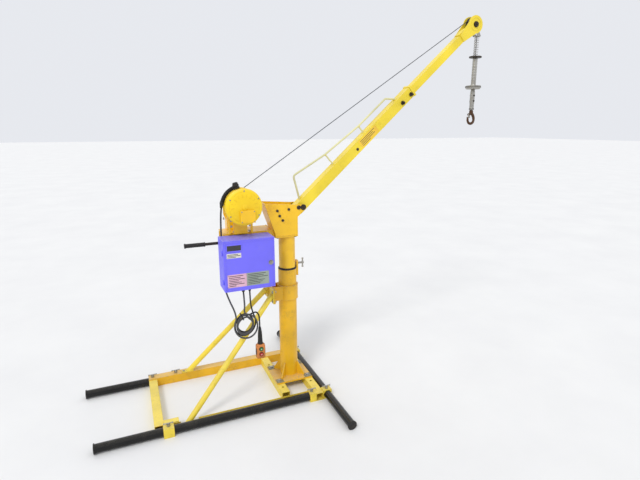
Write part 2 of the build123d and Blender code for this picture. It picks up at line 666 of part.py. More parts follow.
def boom_outer():
    half = OUTER / 2
    tube = BOOM * square_tube(OUTER_S, (-half, half), (-half, half), OUTER_WALL, 0)
    tube -= rod((PIVOT.X, -half - 1, PIVOT.Z), (0, 1, 0), PIVOT_R, OUTER + 2)
    lock = BOOM.from_local_coords(Vector(LOCK_ST[0], 0, LOCK_ST[1]))
    tube -= rod((lock.X, -half - 1, lock.Z), (0, 1, 0), LOCK_R, OUTER + 2)
    for s in clamp_places():
        tube -= BOOM * rod((s, -half - 1, -9), (0, 1, 0), 6.0, OUTER_WALL + 2)
    collar = BOOM * square_tube((OUTER_S[1] - 14, OUTER_S[1]), (-half - 4, half + 4),
                                (-half - 4, half + 4), OUTER_WALL + 4, 0)
    return tube + collar


def clamp_places():
    return (955.0, 1035.0)


def boom_bolts():
    """Pivot bolt, locking bolt with their spacers, and the two clamp bolts."""
    parts = []
    lock = BOOM.from_local_coords(Vector(LOCK_ST[0], 0, LOCK_ST[1]))
    for at, radius in ((PIVOT, PIVOT_R), (lock, LOCK_R)):
        shank = rod((at.X, -HEAD_OUT_Y - 1, at.Z), (0, 1, 0), radius, 2 * HEAD_OUT_Y + 2)
        shank += hexagon((at.X, -HEAD_OUT_Y - 0.4, at.Z), (0, -1, 0), radius * 3, radius)
        shank += hexagon((at.X, HEAD_OUT_Y + 0.4, at.Z), (0, 1, 0), radius * 3, radius)
        for y in (-HEAD_IN_Y + 0.4, OUTER / 2):
            shank += rod((at.X, y, at.Z), (0, 1, 0), radius + 5, HEAD_IN_Y - OUTER / 2 - 0.4)
        parts.append(shank)
    for s in clamp_places():
        bolt_part = rod((s, -OUTER / 2 - 4, -9), (0, 1, 0), 6.0, OUTER_WALL + 6.6)
        bolt_part += hexagon((s, -OUTER / 2, -9), (0, -1, 0), 22, 8)
        bolt_part += hexagon((s, -OUTER / 2 - 8, -9), (0, -1, 0), 18, 8)
        parts.append(BOOM * bolt_part)
    return parts


def truss_rod():
    route = [BOOM.from_local_coords(Vector(s, 0, t)) for s, t in ROD_ST]
    bends = [22] * (len(route) - 2)
    path = FilletPolyline(*route, radius=bends)
    start = Plane(origin=path @ 0, z_dir=path % 0)
    body = sweep(start * Circle(ROD_R), path=path)
    for s, height in zip(POST_S, (114, 86)):
        body += BOOM * rod((s, 0, OUTER / 2 - 1), (0, 0, 1), 5, height - OUTER / 2 + 1)
    cut = BOOM * box((-50, 1100), (-40, 40), (-OUTER / 2, OUTER / 2))
    return body - cut


def boom_inner():
    half = INNER / 2
    return BOOM * square_tube(INNER_S, (-half, half), (-half, half), INNER_WALL, 0)


def tip_cheeks():
    cheeks = []
    for y in (-INNER / 2 - 6, INNER / 2):
        profile = [(1560, -25), (1660, -44), (1700, -56), (1700, 56), (1660, 44), (1560, 25)]
        plate = plate_xz(profile, y, y + 6)
        plate += rod((SHEAVE_S, y, 0), (0, 1, 0), 56, 6)
        plate -= rod((SHEAVE_S, y - 1, 0), (0, 1, 0), 10, 8)
        cheeks.append(BOOM * plate)
    return cheeks


def sheave():
    """Grooved rope wheel with a hub."""
    s = SHEAVE

    def ring(half, outer, inner=0.0):
        return rod((s.X, -half, s.Z), (0, 1, 0), outer, 2 * half, inner)

    def groove(middle_r, groove_r):
        return Pos(s.X, 0, s.Z) * Rot(90, 0, 0) * Torus(middle_r, groove_r)

    wheel = ring(11, SHEAVE_R) - groove(WRAP_R, 2.8) - ring(2.8, SHEAVE_R + 2, WRAP_R)
    wheel -= ring(5.5, SHEAVE_R + 2, WRAP_R) & groove(48.5, 6.5)
    wheel += ring(18, 18)
    return wheel - ring(30, SHEAVE_BORE)


def sheave_pin():
    s = SHEAVE
    pin = rod((s.X, -31, s.Z), (0, 1, 0), 10, 62)
    pin += hexagon((s.X, -31, s.Z), (0, -1, 0), 30, 9)
    return pin + hexagon((s.X, 31, s.Z), (0, 1, 0), 30, 9)


# ---- rope, buffer and hook ----

def rope_line():
    """Where the rope leaves the drum, where it meets the sheave, and its angle."""
    gap = SHEAVE - WINCH
    angle = math.atan2(gap.Z, gap.X) - math.asin((ROPE_LINE_R - WRAP_R) / gap.length)
    out = Vector(-math.sin(angle), 0, math.cos(angle))
    return WINCH + out * ROPE_LINE_R, SHEAVE + out * WRAP_R, math.degrees(angle)


def rope_lower():
    """Half of the straight rope, from the drum."""
    start, touch, _ = rope_line()
    return rod(start, touch - start, ROPE_R, (touch - start).length / 2)


def rope_upper():
    """Other half of the straight rope, almost to the sheave."""
    start, touch, _ = rope_line()
    middle = (start + touch) * 0.5
    return rod(middle, touch - start, ROPE_R, (touch - start).length / 2 - ROPE_LAP)


def rope_wrap():
    """Last stretch before the sheave, and the wrap over it almost to the fall."""
    start, touch, angle = rope_line()
    middle, end = [SHEAVE + Vector(math.cos(a), 0, math.sin(a)) * WRAP_R
                   for a in (math.radians((angle + 90 + WRAP_END) / 2), math.radians(WRAP_END))]
    first = touch - (touch - start).normalized() * ROPE_LAP
    path = Wire([Line(first, touch), ThreePointArc(touch, middle, end)])
    return sweep(Plane(origin=first, z_dir=touch - start) * Circle(ROPE_R), path=path)


def rope_fall():
    """Last of the wrap and the straight fall down to the swivel."""
    first, middle = [SHEAVE + Vector(math.cos(a), 0, math.sin(a)) * WRAP_R
                     for a in (math.radians(WRAP_END), math.radians(WRAP_END / 2))]
    side = SHEAVE + Vector(WRAP_R, 0, 0)
    low = Vector(side.X, 0, SWIVEL_Z[1] - 20)
    path = Wire([ThreePointArc(first, middle, side), Line(side, low)])
    return sweep(Plane(origin=first, z_dir=path % 0) * Circle(ROPE_R), path=path)


def buffer_yoke():
    """Hanger on the sheave pin that carries the buffer spring's top plate."""
    s = SHEAVE
    top = s.Z - 68
    plate = rod((HOOK_X, 0, top), (0, 0, 1), 22, 5, 8)
    body = plate
    for y in (-22.5, 18.5):
        strap = plate_xz([(s.X - 9, s.Z - 8), (s.X + 9, s.Z + 8), (HOOK_X + 12, top + 5), (HOOK_X + 12, top),
                          (HOOK_X - 14, top)], y, y + 4)
        strap += rod((s.X, y, s.Z), (0, 1, 0), 16, 4)
        strap -= rod((s.X, y - 1, s.Z), (0, 1, 0), 10.06, 6)
        body += strap
    body += box((HOOK_X - 14, HOOK_X + 12), (-22.5, -12), (top, top + 5))
    return body + box((HOOK_X - 14, HOOK_X + 12), (12, 22.5), (top, top + 5))


def buffer_spring():
    """Compression spring between the yoke plate and the buffer disc."""
    top = SHEAVE.Z - 68
    low = DISC_Z + DISC_T
    coil_r = 14.5
    wire = 1.9
    height = top - low - 2 * wire
    path = Helix(pitch=height / 11, height=height, radius=coil_r, center=(HOOK_X, 0, low + wire))
    return sweep(Plane(origin=path @ 0, z_dir=path % 0) * Circle(wire), path=path, is_frenet=True)


def buffer_disc():
    return rod((HOOK_X, 0, DISC_Z), (0, 0, 1), DISC_R, DISC_T, 8)


def hook_sleeve():
    """Stop sleeve round the rope, standing on the lower disc."""
    z0, z1 = SLEEVE_Z
    tube = rod((HOOK_X, 0, z0 - 10), (0, 0, 1), 16, z1 - z0 + 10, 8)
    disc = rod((HOOK_X, 0, z0 - 32), (0, 0, 1), LOWER_DISC_R, 22)
    disc = chamfer(disc.edges().filter_by(GeomType.CIRCLE).group_by(Axis.Z)[0], 8)
    return tube + disc - rod((HOOK_X, 0, z0 - 40), (0, 0, 1), 8, 60)


def hook_swivel():
    """Swivel barrel below the lower disc, hollow for the hook's shank."""
    z0, z1 = SWIVEL_Z
    barrel = rod((HOOK_X, 0, z0), (0, 0, 1), 16, z1 - z0)
    barrel += rod((HOOK_X, 0, z1), (0, 0, 1), 12, 4, 2.6)
    barrel -= rod((HOOK_X, 0, z1 - 20), (0, 0, 1), 2.6, 40)
    barrel -= rod((HOOK_X, 0, z0 - 1), (0, 0, 1), 8.06, 50)
    return barrel - rod((HOOK_X, 0, z0 + 30), (0, 0, 1), 12.3, 19)


def hook():
    """Swivelling hook: shank with a collar, neck with latch ears, and an open bow."""
    z0 = SWIVEL_Z[0]
    body = rod((HOOK_X, 0, z0 - 8), (0, 0, 1), 8, 52)
    body += rod((HOOK_X, 0, z0 + 30.3), (0, 0, 1), 12, 14)
    body += rod((HOOK_X, 0, z0 - 24), (0, 0, 1), 13, 23.5)
    rise = z0 - 24 + 4 - HOOK_Z
    shoulder_r = (BOW_R ** 2 + rise ** 2) / (2 * BOW_R)
    turn = math.asin(rise / shoulder_r)
    lean = HOOK_X + BOW_R - shoulder_r
    top, half = [Vector(lean + shoulder_r * math.cos(a), 0, HOOK_Z + shoulder_r * math.sin(a))
                 for a in (turn, turn / 2)]
    right, low, left = [Vector(HOOK_X + BOW_R * dx, 0, HOOK_Z + BOW_R * dz)
                        for dx, dz in ((1, 0), (0, -1), (-1, 0))]
    path = Wire([ThreePointArc(top, half, right), ThreePointArc(right, low, left),
                 Line(left, left + Vector(0, 0, 14))])
    body += sweep(Plane(origin=top, z_dir=path % 0) * Circle(HOOK_R), path=path)
    pin = latch_pin()
    for y in (-10.0, 7.4):
        body += box((pin.X - 4, HOOK_X), (y, y + 2.6), (pin.Z - 5, z0 - 16))
    return body + rod((pin.X, -10, pin.Z), (0, 1, 0), 2.0, 20)


def hook_latch():
    """Sprung latch that closes the throat against the hook's tip."""
    pin = latch_pin()
    run = Vector(HOOK_X - 15.5, 0, HOOK_Z + 12) - pin
    bar = rod(pin, run, 2.2, run.length)
    bar += rod((pin.X, -7, pin.Z), (0, 1, 0), 4.2, 14)
    return bar - rod((pin.X, -8, pin.Z), (0, 1, 0), 2.05, 16)


def latch_pin():
    return Vector(HOOK_X - 18, 0, SWIVEL_Z[0] - 30)


def parts():
    """Every node by name."""
    near = leg((NEAR_LEG_X[0], NEAR_Y, LEG_Z), (1, 0, 0), NEAR_LEG_X[1] - NEAR_LEG_X[0], (0,))
    far = leg((FAR_LEG_X[0], FAR_Y, LEG_Z), (1, 0, 0), FAR_LEG_X[1] - FAR_LEG_X[0], (0,))
    front = leg((OUTRIGGER_X, -OUTRIGGER_HALF, LEG_Z), (0, 1, 0), 2 * OUTRIGGER_HALF, (0, 1))
    return {
        "far_rail": far_rail(),
        "cross_members": cross_members(),
        "near_rail": near_rail(),
        "outrigger_clamps": outrigger_clamps(),
        "column": column(),
        "slew_bushes": slew_bushes(),
        "braces": [brace(NEAR_FOOT, -1), brace(FAR_FOOT, 1)],
        "frame_bolts": frame_bolts(),
        "near_leg": near,
        "far_leg": far,
        "outrigger": front,
        "slew_lock_screw": slew_lock_screw(),
        "mast_tube": mast_tube(),
        "head_side_plates": head_side_plates(),
        "head_frame": head_frame(),
        "head_bolts": head_bolts(),
        "winch_platform": winch_platform(),
        "winch_stand": winch_stand(),
        "motor_casing": motor_casing(),
        "motor_cover": motor_cover(),
        "stator": stator(),
        "gear_case": gear_case(),
        "shaft_bearings": shaft_bearings(),
        "rotor": rotor(),
        "countershaft": countershaft(),
        "drum": drum(),
        "drum_rope": drum_rope(),
        "drum_gear": drum_gear(),
        "control_box": control_box(),
        "box_door": box_door(),
        "door_window": door_window(),
        "door_latch": door_latch(),
        "control_gear": control_gear(),
        "cable_glands": cable_glands(),
        "motor_lead": [lead(MOTOR_LEAD, LEAD_R, "motor lead"), lead(MOTOR_TAIL, LEAD_R, "motor lead tail")],
        "pendant_lead": [lead(PENDANT_LEAD, PENDANT_LEAD_R, "pendant lead"),
                         lead(PENDANT_TAIL, PENDANT_LEAD_R, "pendant lead tail")],
        "lead_hank": lead_hank(),
        "pendant_boot": pendant_boot(),
        "pendant_body": pendant_body(),
        "up_button": pendant_button(28),
        "down_button": pendant_button(62),
        "handle_grip": handle_grip(),
        "boom_outer": boom_outer(),
        "truss_rod": truss_rod(),
        "boom_bolts": boom_bolts(),
        "boom_inner": boom_inner(),
        "tip_cheeks": tip_cheeks(),
        "sheave": sheave(),
        "sheave_pin": sheave_pin(),
        "rope_lower": rope_lower(),
        "rope_upper": rope_upper(),
        "rope_wrap": rope_wrap(),
        "rope_fall": rope_fall(),
        "buffer_yoke": buffer_yoke(),
        "buffer_spring": buffer_spring(),
        "buffer_disc": buffer_disc(),
        "hook_sleeve": hook_sleeve(),
        "hook_swivel": hook_swivel(),
        "hook": hook(),
        "hook_latch": hook_latch(),
    }


os.makedirs("parts", exist_ok=True)
for name, shape in parts().items():
    solids = shape if isinstance(shape, list) else [shape]
    whole = Compound(children=[s for piece in solids for s in piece.solids()])
    export_step(whole, f"parts/{name}.step")
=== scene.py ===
import math
import random

import bmesh
import bpy
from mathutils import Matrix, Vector


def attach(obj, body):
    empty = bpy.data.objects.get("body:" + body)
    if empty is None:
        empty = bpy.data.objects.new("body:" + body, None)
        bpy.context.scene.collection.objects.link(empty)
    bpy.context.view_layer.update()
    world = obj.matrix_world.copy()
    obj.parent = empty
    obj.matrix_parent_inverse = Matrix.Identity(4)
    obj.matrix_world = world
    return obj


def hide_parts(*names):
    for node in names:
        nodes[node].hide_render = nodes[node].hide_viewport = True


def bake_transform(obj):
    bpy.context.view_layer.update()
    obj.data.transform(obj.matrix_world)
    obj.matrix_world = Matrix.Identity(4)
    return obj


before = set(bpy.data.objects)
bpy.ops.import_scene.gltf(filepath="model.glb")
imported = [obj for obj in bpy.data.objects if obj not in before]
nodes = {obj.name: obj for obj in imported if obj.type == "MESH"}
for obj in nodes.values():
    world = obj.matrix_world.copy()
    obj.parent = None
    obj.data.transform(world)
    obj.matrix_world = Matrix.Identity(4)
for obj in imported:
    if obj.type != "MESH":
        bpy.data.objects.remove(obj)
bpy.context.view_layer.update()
random.seed(7)

# Millimetres, in the shared frame: the origin is on the floor at the column's axis
BOOM_ANGLE = math.radians(42.28)
COS, SIN = math.cos(BOOM_ANGLE), math.sin(BOOM_ANGLE)
ROOT = Vector((75, 0, 1164))
ALONG = Vector((COS, 0, SIN))
UP = Vector((-SIN, 0, COS))
SHEAVE_S = 1700
SHEAVE = ROOT + ALONG * SHEAVE_S
BOOM_SIDE = 32
POSTS = ((353, 110), (637, 82))
ROD_ENDS = (56, 938)
CLAMPS_S = (955, 1035)
LABEL_S = (560, 716)
PRESS_SCREW_S = 528
WINCH = Vector((-300, 0, 1219))
WRAP_R = 42.5
DRUM_LINE_R = 50
ROPE_LAP = 80
WRAP_LAP = 140
YOKE_DROP = 68
HOOK_X = SHEAVE.x + WRAP_R
MOTOR_R = 98
COVER_R = 103
LEG_Z = 28
NEAR_Y = -278
FAR_Y = 290
TUBE = 50
FAR_RAIL_Y = 262
NEAR_RAIL_Y = -250
OUTRIGGER_X = 148
OUTRIGGER_END = 640
CLAMP_Y = 280
SLEEVES_X = ((-829, -771), (30, 71))
FOOT_TOP = 60
FOOT_BOLT_X = 95
FOOT_BOLT_Y = 90
BRACKET_Z = (592, 682)
BRACE_BOLT_Z = (606, 668)
GRIP_Z = 990
PLATFORM_TOP = 1048
LOCK_X = 104
LOCK_Z = 811
GEAR_DROP = 63
CONDUIT_Y = -100
CONDUIT_R = MOTOR_R + 13
GLAND_Y = -120
GLANDS = ((-315, 27, 715), (-277, 22, 711))
BOX_X = (-431, -134)
BOX_Z = (741, 1038)
DOOR_Y = -174
DOOR_LATCH = (-158, 890)
WINDOW = (-415, -326, 975, 1016)
LABEL_Z = (765, 842)
LABEL_SPLIT_X = -304
PENDANT = Vector((-238, -172, 391))
HANK = Vector((-322, -178, 530))
ROPE_R = 2.5
SWIVEL_Z = 1766
HOOK_Z = 1700
DISC_Z = 2106
X, Y, Z = Vector((1, 0, 0)), Vector((0, 1, 0)), Vector((0, 0, 1))


def on_boom(s, t, y=0.0):
    """Point at a distance along the boom, and above its middle line."""
    return ROOT + ALONG * s + UP * t + Y * y


def circle(count):
    """Evenly spaced angles of one full turn, in radians."""
    return [2 * math.pi * k / count for k in range(count)]


def spokes(u, v, count):
    """Unit vectors of one full turn, in the plane of two directions."""
    return [u * math.cos(a) + v * math.sin(a) for a in circle(count)]


def round_y(reach, degrees, y=0.0):
    """Offset at an angle round the Y axis, from X towards Z."""
    angle = math.radians(degrees)
    return Vector((math.cos(angle) * reach, y, math.sin(angle) * reach))


def ripple(radius, number):
    """Radius of one ripple of a weld bead."""
    return radius * (1.0 if number % 2 else 0.78) * random.uniform(0.93, 1.08)


# ---- camera and cords ----

def add_camera():
    data = bpy.data.cameras.new("camera")
    data.lens = 25.454
    data.sensor_width = 36
    camera = bpy.data.objects.new("camera", data)
    camera.location = (-0.8939, -2.5956, 1.6460)
    camera.rotation_euler = (math.radians(90 - 13.932), 0, math.radians(-23.34))
    bpy.context.scene.collection.objects.link(camera)
    bpy.context.scene.camera = camera


MOTOR_LEAD = [(-408.6, -100, 1242.1), (-416, -98, 1204), (-417, -80, 1150), (-411, -40, 1090),
              (-408, -23, 1010), (-407, -22, 880), (-407, -23, 765), (-403, -42, 700),
              (-392, -98, 652), (-378, -150, 612)]
MOTOR_TAIL = [(-329, -174, 606), (-320, -160, 634), (-315.5, -134, 668), (-315, -120, 715)]
PENDANT_LEAD = [(-277, -120, 711), (-278, -128, 676), (-283, -152, 640)]
PENDANT_TAIL = [(-276, -178, 597), (-256, -172, 597), (-241, -171, 578), (-238, -172, 545),
                (-238, -172, 500)]


def hank_turns(turns, start_deg, end_deg, radii, y_from, y_to, hang):
    """Loose turns of the hank: all meet at the tied top and the larger ones hang lower."""
    sweep = end_deg - start_deg
    count = round(abs(sweep) / 24)
    points = []
    for step in range(count + 1):
        part = step / count
        angle = math.radians(start_deg + sweep * part)
        lap = part * turns
        radius = radii[0] + (radii[1] - radii[0]) * part + 2.4 * math.sin(2.1 * lap + hang)
        depth = (1 - math.sin(angle)) / 2
        drop = depth * (9 * math.sin(2.3 * lap + hang) + 1)
        lean = depth * (8 * math.sin(1.9 * lap + 2 * hang) - 4)
        narrow = 0.90 + 0.07 * math.sin(2.9 * lap + hang)
        y = y_from + (y_to - y_from) * part + 2.2 * depth * math.cos(2.6 * lap)
        points.append((HANK.x + narrow * radius * math.cos(angle) + lean, y,
                       HANK.z + 1.03 * radius * math.sin(angle) - drop))
    return points


def cord_curve(name, points, radius):
    curve = bpy.data.curves.new(name, "CURVE")
    curve.dimensions = "3D"
    curve.bevel_depth = radius / 1000
    curve.bevel_resolution = 4
    curve.resolution_u = 8
    curve.use_fill_caps = True
    spline = curve.splines.new("NURBS")
    spline.points.add(len(points) - 1)
    for point, place in zip(spline.points, points):
        point.co = (place[0] / 1000, place[1] / 1000, place[2] / 1000, 1)
    spline.order_u = 3
    spline.use_endpoint_u = True
    cord = bpy.data.objects.new(name, curve)
    bpy.context.scene.collection.objects.link(cord)
    return cord


# ---- mesh building ----

def across(direction):
    """Two unit vectors square to a direction."""
    first = direction.cross(Y if abs(direction.normalized().y) < 0.9 else X).normalized()
    return first, direction.cross(first).normalized()


class Shape:
    """Faces collected in millimetres, made into one piece."""

    def __init__(self):
        self.points = []
        self.faces = []

    def rings(self, rings, closed=False, caps=True):
        """Skin over equal rings of points."""
        base, size = len(self.points), len(rings[0])
        for ring in rings:
            self.points += [Vector(p) for p in ring]
        last = len(rings) if closed else len(rings) - 1
        for i in range(last):
            a, b = base + i * size, base + (i + 1) % len(rings) * size
            for k in range(size):
                n = (k + 1) % size
                self.faces.append((a + k, a + n, b + n, b + k))
        if caps and not closed:
            self.faces.append(tuple(base + k for k in reversed(range(size))))
            self.faces.append(tuple(base + (len(rings) - 1) * size + k for k in range(size)))
        return self

    def block(self, x, y, z):
        ring = [(x[0], y[0]), (x[1], y[0]), (x[1], y[1]), (x[0], y[1])]
        return self.rings([[(px, py, h) for px, py in ring] for h in z])

    def slab(self, centre, u, v, w, sizes):
        """Box by its centre, three directions and three sizes."""
        u, v, w = u * sizes[0] / 2, v * sizes[1] / 2, w * sizes[2] / 2
        ring = [-u - v, u - v, u + v, -u + v]
        return self.rings([[Vector(centre) + c + w * side for c in ring] for side in (-1, 1)])

    def lathe(self, profile, origin, axis, steps=36, closed=False):
        """Turned shape: the profile is (radius, distance along the axis)."""
        axis = Vector(axis).normalized()
        turn = spokes(*across(axis), steps)
        rings = [[Vector(origin) + axis * h + spoke * max(r, 0.01) for spoke in turn] for r, h in profile]
        return self.rings(rings, closed=closed)

    def ring_bar(self, outer, inner, origin, axis, length, steps=48):
        profile = [(outer, 0), (outer, length), (inner, length), (inner, 0)]
        return self.lathe(profile, origin, axis, steps, closed=True)

    def hexagon(self, origin, axis, width, height, bore_chamfer=0.12):
        axis = Vector(axis).normalized()
        u, v = across(axis)
        rings = []
        radius = width / math.sqrt(3)
        lip = width * bore_chamfer * 0.6
        for r, h in ((radius, 0), (radius, height - lip * 0.6), (radius * 0.86, height)):
            rings.append([Vector(origin) + axis * h + (u * math.cos(math.radians(60 * k + 30))
                          + v * math.sin(math.radians(60 * k + 30))) * r for k in range(6)])
        return self.rings(rings)

    def tube(self, path, radius, steps=10, closed=False):
        """Round bar along points; the radius may be a list."""
        path = [Vector(p) for p in path]
        count = len(path)
        radii = radius if isinstance(radius, list) else [radius] * count
        rings = []
        u = None
        for i, here in enumerate(path):
            before = path[(i - 1) % count] if closed or i else here
            after = path[(i + 1) % count] if closed or i < count - 1 else here
            run = (after - before).normalized()
            u = across(run)[0] if u is None else (u - run * u.dot(run)).normalized()
            v = run.cross(u)
            rings.append([here + spoke * radii[i] for spoke in spokes(u, v, steps)])
        return self.rings(rings, closed=closed)

    def strands(self, path, radius, lay=34.0, lobes=6):
        """Laid rope: lobed section that turns along the path."""
        path = [Vector(p) for p in path]
        travelled = 0.0
        rings = []
        for i, here in enumerate(path):
            before, after = path[max(i - 1, 0)], path[min(i + 1, len(path) - 1)]
            run = (after - before).normalized()
            travelled += (here - before).length
            u = (Y - run * Y.dot(run)).normalized()
            v = run.cross(u)
            turn = 2 * math.pi * travelled / lay
            ring = []
            for k, angle in enumerate(circle(lobes * 3)):
                reach = radius * (1.0 if k % 3 else 0.72)
                ring.append(here + (u * math.cos(angle + turn) + v * math.sin(angle + turn)) * reach)
            rings.append(ring)
        return self.rings(rings)

    def weld(self, path, radius=2.2, step=2.6):
        """Rippled weld bead along straight runs."""
        path = [Vector(p) for p in path]
        beads, radii = [], []
        for a, b in zip(path, path[1:]):
            count = max(2, round((b - a).length / step))
            for i in range(count):
                beads.append(a.lerp(b, i / count))
                radii.append(ripple(radius, i))
        beads.append(path[-1])
        radii.append(radius * 0.7)
        return self.tube(beads, radii, steps=7)

    def ring_weld(self, centre, axis, reach, radius=2.2):
        count = max(24, round(2 * math.pi * reach / 2.6))
        turn = spokes(*across(Vector(axis).normalized()), count)
        beads = [Vector(centre) + spoke * reach for spoke in turn]
        radii = [ripple(radius, k) for k in range(count)]
        return self.tube(beads, radii, steps=7, closed=True)

    def bolt_head(self, origin, axis, width, washer=True):
        axis = Vector(axis).normalized()
        lift = 0.0
        if washer:
            thick = width * 0.1
            profile = [(width * 0.62, 0), (width * 0.62, thick * 0.7), (width * 0.58, thick)]
            self.lathe(profile, origin, axis, 24)
            lift = thick
        self.hexagon(Vector(origin) + axis * lift, axis, width, width * 0.42)
        top = Vector(origin) + axis * (lift + width * 0.42)
        return self.lathe([(width * 0.3, -0.3), (width * 0.28, 0.5)], top, axis, 20)

    def screw_head(self, origin, axis, radius):
        shares = [(1, 0), (1, 0.25), (0.8, 0.55), (0.42, 0.6), (0.38, 0.3), (0, 0.3)]
        return self.lathe([(radius * r, radius * h) for r, h in shares], origin, axis, 20)

    def make(self, name, body, slot, look, replaces=(), bevel=0.5, smooth=35, subdivide=0):
        """One finished piece that rides a body, with its look and the nodes it replaces; the slot argument is
        not used.
        """
        mesh = bpy.data.meshes.new(name)
        mesh.from_pydata([tuple(p / 1000) for p in self.points], [], self.faces)
        skin = bmesh.new()
        skin.from_mesh(mesh)
        bmesh.ops.recalc_face_normals(skin, faces=skin.faces)
        skin.to_mesh(mesh)
        skin.free()
        mesh.materials.append(looks[look])
        mesh.shade_smooth()
        piece = bpy.data.objects.new(name, mesh)
        bpy.context.scene.collection.objects.link(piece)
        if bevel:
            edge = piece.modifiers.new("edge", "BEVEL")
            edge.width = bevel / 1000
            edge.segments = 2
            edge.limit_method = "ANGLE"
            edge.angle_limit = math.radians(smooth)
            edge.harden_normals = False
        if subdivide:
            piece.modifiers.new("smooth", "SUBSURF").render_levels = subdivide
            piece.modifiers["smooth"].levels = subdivide
        if piece.modifiers:
            settle(piece)
        piece.data.set_sharp_from_angle(angle=math.radians(smooth))
        if body:
            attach(piece, body)
        if replaces:
            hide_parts(*replaces)
        return piece

    def make_welds(self, name, body, look):
        return self.make(name, body, "yellow_paint", look, bevel=0, smooth=80)


def settle(piece):
    """Applies the modifiers, so that the mesh is final."""
    bpy.context.view_layer.update()
    graph = bpy.context.evaluated_depsgraph_get()
    final = bpy.data.meshes.new_from_object(piece.evaluated_get(graph))
    piece.modifiers.clear()
    piece.data = final


# ---- materials ----

class Graph:
    """Short way to add and join the nodes of a material."""

    def __init__(self, name):
        self.material = bpy.data.materials.new(name)
        self.material.use_nodes = True
        self.tree = self.material.node_tree
        self.shader = self.tree.nodes["Principled BSDF"]
        self.place = self.add("TexCoord").outputs["Object"]

    def add(self, kind, sockets=None, **settings):
        made = self.tree.nodes.new("ShaderNode" + kind)
        for key, value in settings.items():
            setattr(made, key, value)
        self.put(made, sockets or {})
        return made

    def put(self, made, sockets):
        for key, value in sockets.items():
            if isinstance(value, bpy.types.NodeSocket):
                self.tree.links.new(value, made.inputs[key])
            else:
                made.inputs[key].default_value = value

    def noise(self, scale, detail=6.0, rough=0.6, stretch=None):
        where = self.place
        if stretch:
            where = self.add("Mapping", {"Vector": self.place, "Scale": stretch}).outputs[0]
        made = self.add("TexNoise", {"Vector": where, "Scale": scale, "Detail": detail,
                                     "Roughness": rough})
        return made.outputs["Fac"]

    def ramp(self, value, low, high, top=1.0):
        made = self.add("MapRange", {"Value": value, "From Min": low, "From Max": high, "To Max": top})
        return made.outputs[0]

    def mix(self, share, first, second):
        made = self.add("Mix", data_type="RGBA")
        self.put(made, {0: share, 6: first, 7: second})
        return made.outputs[2]

    def maths(self, operation, first, second):
        made = self.add("Math", operation=operation)
        self.put(made, {0: first, 1: second})
        return made.outputs[0]


def colour(red, green, blue):
    """Screen colour, 0 to 255, as linear light."""
    return tuple(((c / 255 + 0.055) / 1.055) ** 2.4 if c > 10 else c / 255 / 12.92
                 for c in (red, green, blue)) + (1.0,)


def finish(name, tone, rough=0.4, metal=0.0, coat=0.0, tone_shift=0.12, dirt=0.2, dirt_tone=(92, 80, 62),
           dirt_scale=7.0, worn=0.0, worn_tone=(70, 55, 45), grain=260.0, bump=0.08, edge=1.2, dust=0.0,
           dust_tone=(176, 168, 150), stretch=None, sheen=0.0, specular=0.5):
    """Paint, metal, rubber or plastic with uneven tone, dirt, dust on top faces and worn edges."""
    g = Graph(name)
    soft = g.noise(dirt_scale * 0.6, 3.0)
    cloud = g.noise(dirt_scale, 9.0, 0.68)
    fine = g.noise(grain, 4.0, 0.55, stretch)
    speck = g.noise(dirt_scale * 16, 5.0, 0.7)
    base = colour(*tone)
    dark = tuple(c * (1 - tone_shift) for c in base[:3]) + (1.0,)
    light = tuple(min(1.0, c * (1 + tone_shift)) for c in base[:3]) + (1.0,)
    paint = g.mix(g.ramp(soft, 0.35, 0.65), dark, light)
    grime = g.maths("MULTIPLY", g.ramp(cloud, 0.52, 0.74, dirt), g.ramp(speck, 0.35, 0.6))
    paint = g.mix(grime, paint, colour(*dirt_tone))
    roughness = g.maths("ADD", g.ramp(cloud, 0.4, 0.75, 0.22), rough)
    normal = g.add("Bevel", {"Radius": edge / 1000}, samples=4).outputs[0]
    if dust:
        facing = g.add("SeparateXYZ", {0: g.add("NewGeometry").outputs["Normal"]}).outputs[2]
        lying = g.maths("MULTIPLY", g.ramp(facing, 0.35, 0.95, dust), g.ramp(speck, 0.3, 0.62))
        paint = g.mix(lying, paint, colour(*dust_tone))
        roughness = g.maths("ADD", roughness, g.maths("MULTIPLY", lying, 0.3))
    if worn:
        true = g.add("NewGeometry").outputs["Normal"]
        wide = g.add("Bevel", {"Radius": 0.0035}, samples=4).outputs[0]
        near = g.add("VectorMath", {0: wide, 1: true}, operation="DOT_PRODUCT").outputs["Value"]
        rim = g.maths("MULTIPLY", g.ramp(near, 0.985, 0.90), g.ramp(speck, 0.46, 0.6, worn))
        chip = g.maths("MAXIMUM", rim, g.ramp(g.noise(dirt_scale * 5, 8.0, 0.75), 0.70, 0.74, worn))
        paint = g.mix(chip, paint, colour(*worn_tone))
        roughness = g.maths("ADD", roughness, g.maths("MULTIPLY", chip, 0.25))
    relief = g.add("Bump", {"Height": fine, "Strength": bump, "Distance": 0.0004, "Normal": normal})
    g.put(g.shader, {"Base Color": paint, "Roughness": roughness, "Metallic": metal,
                     "Normal": relief.outputs[0],
                     "Coat Weight": coat, "Coat Roughness": 0.12, "Sheen Weight": sheen,
                     "Specular IOR Level": specular})
    return g.material


def label(name, tone, rough, dirt, dirt_scale=14.0, **settings):
    """Thin printed film."""
    return finish(name, tone, rough, dirt=dirt, dirt_scale=dirt_scale, grain=600, bump=0.03, edge=0.2,
                  **settings)


def button(name, tone):
    return finish(name, tone, 0.38, dirt=0.2, dirt_scale=40.0, grain=900, bump=0.05)


